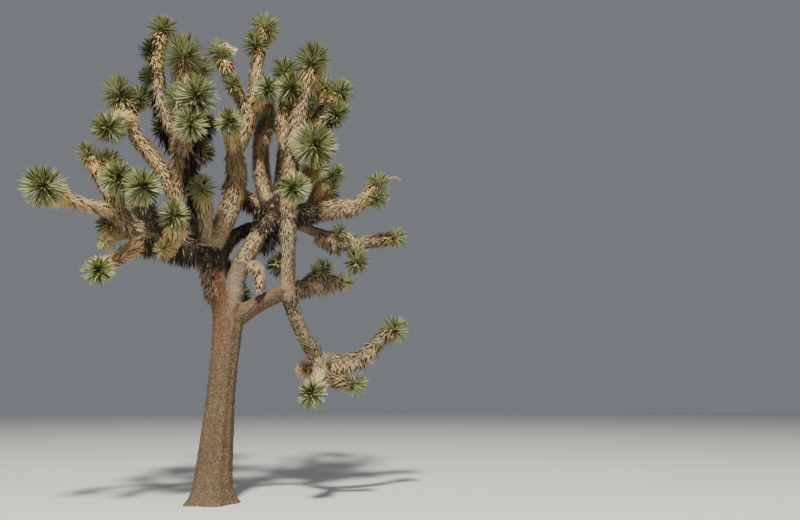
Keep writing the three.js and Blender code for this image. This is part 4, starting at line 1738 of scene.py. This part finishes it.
@dataclass
class Spots:
    """Places on the surface of a limb or stem, one in each row.

    Attributes:
        share: Shares of the length.
        centre: Places on the centre line.
        outward: Directions out of the wood.
        along: Directions along it.
        radius: Its radius there.
    """

    share: np.ndarray
    centre: np.ndarray
    outward: np.ndarray
    along: np.ndarray
    radius: np.ndarray

    @classmethod
    def on(cls, tube: Tube, share: np.ndarray, rng: np.random.Generator) -> "Spots":
        """Places round a tube.

        Args:
            tube: The limb or stem.
            share: The share of its length for each place.
            rng: The source of random numbers.

        Returns:
            The places.
        """
        angle = np.arange(len(share)) * GOLDEN_ANGLE + rng.normal(0, 0.3, len(share))
        across, sideways, along = tube.course.frame(share)
        outward = across * np.cos(angle)[:, None] + sideways * np.sin(angle)[:, None]
        return cls(share, tube.course.point(share), outward, along, tube.radius(share))

    def facing(self, side: Vector) -> "Spots":
        """The places that face one side."""
        beside = self.outward @ unit(np.array(side)) > 0.25
        return Spots(*(values[beside] for values in vars(self).values()))

    def leaning(self, spread: np.ndarray) -> np.ndarray:
        """Directions back along the tube, each turned outwards by an angle."""
        return -self.along * np.cos(spread)[:, None] + self.outward * np.sin(spread)[:, None]

    def leaves(
        self, pointing: np.ndarray, least: float, depth: float, length: np.ndarray, width: np.ndarray
    ) -> np.ndarray:
        """Dead leaves that start here, turned out of the wood where they would run into it.

        Args:
            pointing: Their directions.
            least: How far each must point outwards.
            depth: Where they start, as a share of the radius.
            length: Their lengths.
            width: Their widths.

        Returns:
            Five points for each leaf.
        """
        short = np.maximum(least - (pointing * self.outward).sum(axis=1), 0)
        pointing = unit(pointing + self.outward * short[:, None])
        roots = self.centre + self.outward * (self.radius * depth)[:, None]
        return dry_blades(roots, roots + pointing * length[:, None], self.outward, width)


@dataclass
class Thatch:
    """The dead leaves along limbs and stems: skirts, short scales and hanging shags.

    Attributes:
        skeleton: The grown limbs, stems and rosettes.
        store: Where the leaves are kept.
        scale_density: Short leaf bases on a square metre.
        skirt_density: Leaves on a metre of stem below a rosette.
        skirt_length: How far a skirt reaches down the stem, in metres.
        width: Width of a leaf in a skirt, in metres.
    """

    skeleton: Skeleton
    store: LeafStore
    scale_density: float = 3200
    skirt_density: float = 720
    skirt_length: float = 0.62
    width: float = 0.023

    def build(self) -> int:
        """Cover every limb and stem that has dead leaves.

        Returns:
            How many leaves there are.
        """
        total = 0
        for number, size in enumerate(LIMBS):
            if size.skin is Skin.FLAKED or size.thatch_from < 1:
                tube = self.skeleton.limbs[size.name]
                total += self.scales(tube, size.straw, min(size.thatch_from, 1.0), LIMB_SEED + number)
        straws = {mass.name: mass.straw for mass in MASSES}
        for number, stem in enumerate(self.skeleton.stems):
            total += self.scales(stem, straws[stem.name], 0.0, STEM_SEED + number)
            if stem.head:
                total += self.skirt(stem, straws[stem.name], SKIRT_SEED + number)
        return total + sum(self.hang(shag, SHAG_SEED + number) for number, shag in enumerate(SHAGS))

    @staticmethod
    def shares(tube: Tube, low: float, high: float, density: float, rng: np.random.Generator) -> np.ndarray:
        """Shares of a tube's length, spread so that its surface is covered evenly.

        Args:
            tube: The limb or stem.
            low: Share where they start.
            high: Share where they end.
            density: Places on a square metre.
            rng: The source of random numbers.

        Returns:
            The shares in rising order.
        """
        length = tube.course.length()
        low = max(low, tube.sunk * 0.9 / length)
        area = FULL_TURN * float(tube.radius((low + high) / 2)) * length * max(high - low, 0)
        count = int(density * area)
        return low + (high - low) * (np.arange(count) + rng.uniform(0, 1, count)) / max(count, 1)

    def scales(self, tube: Tube, straw: Straw, shaggy_from: float, seed: int) -> int:
        """Set the short bases of old leaves on a limb or stem, longer where it is shaggy.

        Args:
            tube: The limb or stem.
            straw: Their colour.
            shaggy_from: Share of the length from which they are longer.
            seed: Seeds them.

        Returns:
            How many there are.
        """
        rng = np.random.default_rng(seed)
        high = 1.0 - tube.head * 0.5 / tube.course.length()
        shares = self.shares(tube, BARE_TO.get(tube.name, 0.0), high, self.scale_density, rng)
        spots = Spots.on(tube, shares, rng)
        count = len(shares)
        if not count:
            return 0
        shaggy = np.clip((shares - shaggy_from) * 5 + 0.5, 0, 1)
        pointing = spots.leaning(np.radians(rng.uniform(5, 20, count) + 12 * shaggy))
        pointing += rng.normal(0, 0.16, (count, 3))
        pointing[:, 2] -= 0.12
        length = rng.uniform(0.032, 0.08, count) + shaggy * rng.uniform(0.0, 0.09, count)
        leaves = spots.leaves(pointing, 0.1, 0.93, length, rng.uniform(0.009, 0.017, count))
        draw = rng.uniform(0, 1, count) + 0.1 * (1 - shaggy)
        self.store.deal(leaves, draw, STRAW_ODDS[straw], LeafKind.DARK)
        return count

    def skirt(self, stem: Tube, straw: Straw, seed: int) -> int:
        """Hang the newly dead leaves in a skirt below a rosette.

        Args:
            stem: The stem that carries the rosette.
            straw: Their colour.
            seed: Seeds them.

        Returns:
            How many there are.
        """
        rng = np.random.default_rng(seed)
        length = stem.course.length()
        start = 0.5 * stem.head
        span = min(self.skirt_length * (0.6 + 1.8 * stem.head), length * 0.95 - start)
        count = int(self.skirt_density * span)
        if count < 1:
            return 0
        fade = (np.arange(count) + rng.uniform(0, 1, count)) / count
        spots = Spots.on(stem, 1 - (start + span * fade) / length, rng)
        pointing = spots.leaning(np.radians(50 - 33 * fade**0.6 + rng.normal(0, 8, count)))
        pointing += rng.normal(0, 0.1, (count, 3))
        pointing[:, 2] -= 0.22
        reach = (0.95 * stem.head * (1 - fade) + 0.13 * fade) * rng.uniform(0.8, 1.12, count)
        leaves = spots.leaves(pointing, 0.12, 0.8, reach, self.width * rng.uniform(0.75, 1.3, count))
        tint = fade + rng.normal(0, 0.1, count)
        golden_to = GOLDEN_TO[straw]
        self.store.add(LeafKind.PALE, leaves[tint < 0.1])
        self.store.add(LeafKind.GOLD, leaves[(tint >= 0.1) & (tint < golden_to)])
        rest = tint >= golden_to
        self.store.deal(leaves[rest], rng.uniform(0, 1, rest.sum()), STRAW_ODDS[straw], LeafKind.DARK)
        return count

    def hang(self, shag: ShagSize, seed: int) -> int:
        """Hang a shag of dead leaves from one side of a limb.

        Args:
            shag: Its sizes.
            seed: Seeds it.

        Returns:
            How many leaves it has.
        """
        rng = np.random.default_rng(seed)
        tubes = [*self.skeleton.limbs.values(), *self.skeleton.stems]
        total = 0
        for tube in (tube for tube in tubes if tube.name == shag.limb):
            share = self.shares(tube, *shag.stretch, shag.density, rng)
            spots = Spots.on(tube, share, rng).facing(shag.side)
            count = len(spots.share)
            pointing = spots.outward * 0.45 + rng.normal(0, 0.22, (count, 3)) + np.array([0, 0, -1.0])
            length = rng.uniform(*shag.length, count)
            leaves = spots.leaves(unit(pointing), 0.1, 0.95, length, rng.uniform(0.014, 0.026, count))
            self.store.deal(leaves, rng.uniform(0, 1, count), STRAW_ODDS[shag.straw], LeafKind.DARK)
            total += count
        return total


@dataclass
class FlowerStalks:
    """The dried flower stalks that stand in three of the rosettes.

    Attributes:
        skeleton: The grown limbs, stems and rosettes.
        materials: The material of each colour.
        thick: Radius where a stalk starts, in metres.
        thin: Radius where it ends, in metres.
        rings: How many rings of points it has.
        sides: Its sides.
    """

    skeleton: Skeleton
    materials: dict[LeafKind, bpy.types.Material]
    thick: float = 0.012
    thin: float = 0.005
    rings: int = 12
    sides: int = 6

    def build(self, store: LeafStore) -> None:
        """Build every stalk and gather its husks.

        Args:
            store: Where the husks are kept.
        """
        places = {mass.name: index for index, mass in enumerate(MASSES)}
        heads = {head.seed: head for head in self.skeleton.heads}
        share = np.linspace(0, 1, self.rings)
        angle = np.arange(self.sides) * FULL_TURN / self.sides
        for number, size in enumerate(STALKS):
            rng = np.random.default_rng(STALK_SEED + number)
            line = self.line(heads[places[size.mass] * 10 + size.head], size, rng)
            stalk = Tube(size.mass, line, self.thick, self.thin)
            across, sideways, _ = line.frame(share)
            rings = rings_round(line.point(share), across, sideways, angle, stalk.radius(share)[:, None])
            made = mesh_object(f"flower_stalk_{number}", close_rings(rings), smooth=True)
            declare(made, self.materials[size.kind], [size.mass])
            self.husks(line, size, rng, store)

    @staticmethod
    def line(head: Head, size: StalkSize, rng: np.random.Generator) -> Course:
        """A stalk's slightly crooked centre line.

        Args:
            head: The rosette that it stands in.
            size: Its sizes.
            rng: The source of random numbers.

        Returns:
            The line.
        """
        share = np.linspace(0, 1, 9)[:, None]
        start = head.centre + np.array(size.start)
        end = head.centre + np.array(size.reach)
        arch = np.sin(share * math.pi) * np.array([0, 0, 0.03])
        return Course(start + (end - start) * share + arch + rng.normal(0, 0.004, (9, 3)))

    @staticmethod
    def husks(line: Course, size: StalkSize, rng: np.random.Generator, store: LeafStore) -> None:
        """Set the dry husks along a stalk.

        Args:
            line: Its centre line.
            size: Its sizes.
            rng: The source of random numbers.
            store: Where the husks are kept.
        """
        share = rng.uniform(0.15, 1.0, size.husks)
        along = line.direction(share)
        aside = unit(rng.normal(0, 1, (size.husks, 3)))
        pointing = unit(along + aside * size.spread + np.array([0, 0, -0.15]))
        roots = line.point(share) + aside * 0.012
        tips = roots + pointing * (size.husk[0] * rng.uniform(0.6, 1.15, size.husks))[:, None]
        width = size.husk[1] * rng.uniform(0.7, 1.2, size.husks)
        store.add(size.kind, stiff_blades(roots, tips, aside, width, width * 0.3))


@dataclass
class Foliage:
    """Joins the gathered leaves into one mesh for each colour.

    Attributes:
        store: The gathered leaves.
        materials: The material of each colour.
        most_triangles: How many triangles a piece may have.
    """

    store: LeafStore
    materials: dict[LeafKind, bpy.types.Material]
    most_triangles: int = 190000

    def build(self) -> None:
        """Join, dress and declare every colour of leaf."""
        for kind, groups in self.store.vertices.items():
            for name, blade in BLADES.items():
                same = [group for group in groups if group.shape[1] == blade.points]
                if same:
                    self.join(f"{name}_{kind.value}", np.concatenate(same), blade, self.materials[kind])

    def join(self, name: str, leaves: np.ndarray, blade: Blade, material: bpy.types.Material) -> None:
        """Join leaves of one pattern into pieces that aren't too large.

        Args:
            name: The name of the pieces.
            leaves: The leaves' points.
            blade: Their faces.
            material: Their material.
        """
        most = self.most_triangles // (len(blade.quads) * 2 + len(blade.triangles))
        for part, start in enumerate(range(0, len(leaves), most)):
            block = leaves[start : start + most]
            offset = (np.arange(len(block)) * blade.points)[:, None, None]
            patterns = (np.array(blade.quads), np.array(blade.triangles))
            faces = [(pattern[None] + offset).reshape(-1, pattern.shape[1]) for pattern in patterns]
            made = mesh_object(f"{name}_{part}", (block.reshape(-1, 3), faces), smooth=False)
            declare(made, material, [mass.name for mass in MASSES])


@dataclass(frozen=True)
class LightSize:
    """An area light that points at the tree's middle.

    Attributes:
        name: Its name.
        place: Where it hangs, in metres.
        size: The length of its sides, in metres.
        power: Its power in watts.
        colour: Its colour.
    """

    name: str
    place: Vector
    size: float
    power: float
    colour: Vector


@dataclass(frozen=True)
class Studio:
    """The floor, the lights and the camera.

    Attributes:
        eye: Height of the camera above the ground, in metres.
        distance: From the camera to the trunk, in metres.
        tilt: How far the camera looks up, in degrees.
        turn: How far it looks to the right of the trunk, in degrees.
        lens: Focal length in millimetres on a 36 mm sensor.
        half_floor: Half the width of the floor, in metres.
        floor_tone: The floor's colour.
        sky: The colour of the surround.
        sky_strength: How bright the surround is.
        aim: What the lights point at, in metres.
        lights: A high key from the front and a fill from the right.
    """

    eye: float = 1.4
    distance: float = 10.153
    tilt: float = 11.9
    turn: float = 15.06
    lens: float = 30.0
    half_floor: float = 60.0
    floor_tone: Vector = (0.72, 0.71, 0.69)
    sky: Vector = (0.78, 0.82, 0.88)
    sky_strength: float = 0.24
    aim: Vector = (0.0, 0.0, 4.2)
    lights: tuple[LightSize, ...] = (
        LightSize("key", (-4.6, -18.8, 29.5), 3.4, 21500, (1.0, 0.95, 0.87)),
        LightSize("fill", (12.0, -9.0, 6.0), 7.0, 220, (0.9, 0.95, 1.0)),
    )

    def build(self) -> None:
        """Build the floor, the lights and the camera."""
        self.floor()
        world = bpy.data.worlds.new("studio")
        world.use_nodes = True
        surround = world.node_tree.nodes["Background"].inputs
        surround["Color"].default_value = (*self.sky, 1)
        surround["Strength"].default_value = self.sky_strength
        bpy.context.scene.world = world
        for light in self.lights:
            self.hang(light)
        self.camera()

    def floor(self) -> None:
        """A wide pale floor."""
        half = self.half_floor
        corners = np.array([[-half, -half, 0], [half, -half, 0], [half, half, 0], [-half, half, 0]])
        made = mesh_object("floor", (corners, [np.array([[0, 1, 2, 3]])]), smooth=False)
        made.data.materials.append(Surface("pale floor", self.floor_tone, 0.9, 0.5).material)

    def hang(self, size: LightSize) -> None:
        """Hang one light.

        Args:
            size: Its sizes.
        """
        light = bpy.data.lights.new(size.name, "AREA")
        light.size = size.size
        light.energy = size.power
        light.color = size.colour
        made = bpy.data.objects.new(size.name, light)
        made.location = size.place
        aim = np.array(self.aim) - np.array(size.place)
        down = math.atan2(-aim[2], math.hypot(aim[0], aim[1]))
        made.rotation_euler = (math.pi / 2 - down, 0, math.atan2(aim[1], aim[0]) - math.pi / 2)
        bpy.context.scene.collection.objects.link(made)

    def camera(self) -> None:
        """The camera at the photograph's angle."""
        lens = bpy.data.cameras.new("camera")
        lens.lens = self.lens
        lens.sensor_width = 36.0
        lens.clip_end = 300
        made = bpy.data.objects.new("camera", lens)
        made.location = (0, -self.distance, self.eye)
        made.rotation_euler = (math.radians(90 + self.tilt), 0, math.radians(-self.turn))
        bpy.context.scene.collection.objects.link(made)
        bpy.context.scene.camera = made


LEAF_FINISHES = {
    LeafKind.FRESH: LeafFinish("leaf fresh green", (0.37, 0.42, 0.16), (0.29, 0.34, 0.12), 0.45),
    LeafKind.DEEP: LeafFinish("leaf deep green", (0.265, 0.31, 0.13), (0.2, 0.24, 0.09), 0.45),
    # The dark green of painted shade.
    LeafKind.SHADE: LeafFinish("leaf dark green", (0.085, 0.09, 0.026), (0.058, 0.062, 0.018), 0.5),
    LeafKind.OLIVE: LeafFinish("leaf olive", (0.45, 0.48, 0.27), (0.36, 0.39, 0.2), 0.45),
    LeafKind.PALE: LeafFinish("leaf pale", (0.48, 0.44, 0.2), (0.39, 0.36, 0.16), 0.5),
    LeafKind.GOLD: LeafFinish("straw gold", (0.62, 0.42, 0.16), (0.49, 0.32, 0.11), 0.7),
    LeafKind.STRAW: LeafFinish("straw tan", (0.54, 0.4, 0.225), (0.42, 0.305, 0.16), 0.75),
    LeafKind.GREY: LeafFinish("straw grey", (0.345, 0.28, 0.185), (0.25, 0.2, 0.13), 0.8),
    # Near-black straw of painted shade.
    LeafKind.DARK: LeafFinish("straw dark", (0.058, 0.042, 0.028), (0.035, 0.025, 0.018), 0.85),
    LeafKind.CREAM: LeafFinish("husk cream", (0.85, 0.7, 0.46), (0.7, 0.55, 0.34), 0.7),
    LeafKind.ROSE: LeafFinish("husk rose", (0.62, 0.36, 0.25), (0.5, 0.3, 0.2), 0.7),
}


def main() -> None:
    """Build the tree and the studio in order."""
    logging.basicConfig(level=logging.INFO, format="%(message)s")
    Studio().build()
    effects = SharedEffects.make()
    skeleton = Skeleton()
    skeleton.grow()
    LOG.info("skeleton: %d stems, %d rosettes", len(skeleton.stems), len(skeleton.heads))
    Bark(skeleton, BarkFinish().make(effects)).build()
    store = LeafStore()
    LOG.info("rosettes: %d leaves", Rosettes(skeleton).build(store))
    LOG.info("thatch: %d leaves", Thatch(skeleton, store).build())
    materials = {kind: finish.make(effects) for kind, finish in LEAF_FINISHES.items()}
    FlowerStalks(skeleton, materials).build(store)
    Foliage(store, materials).build()


if __name__ == "__main__":
    main()
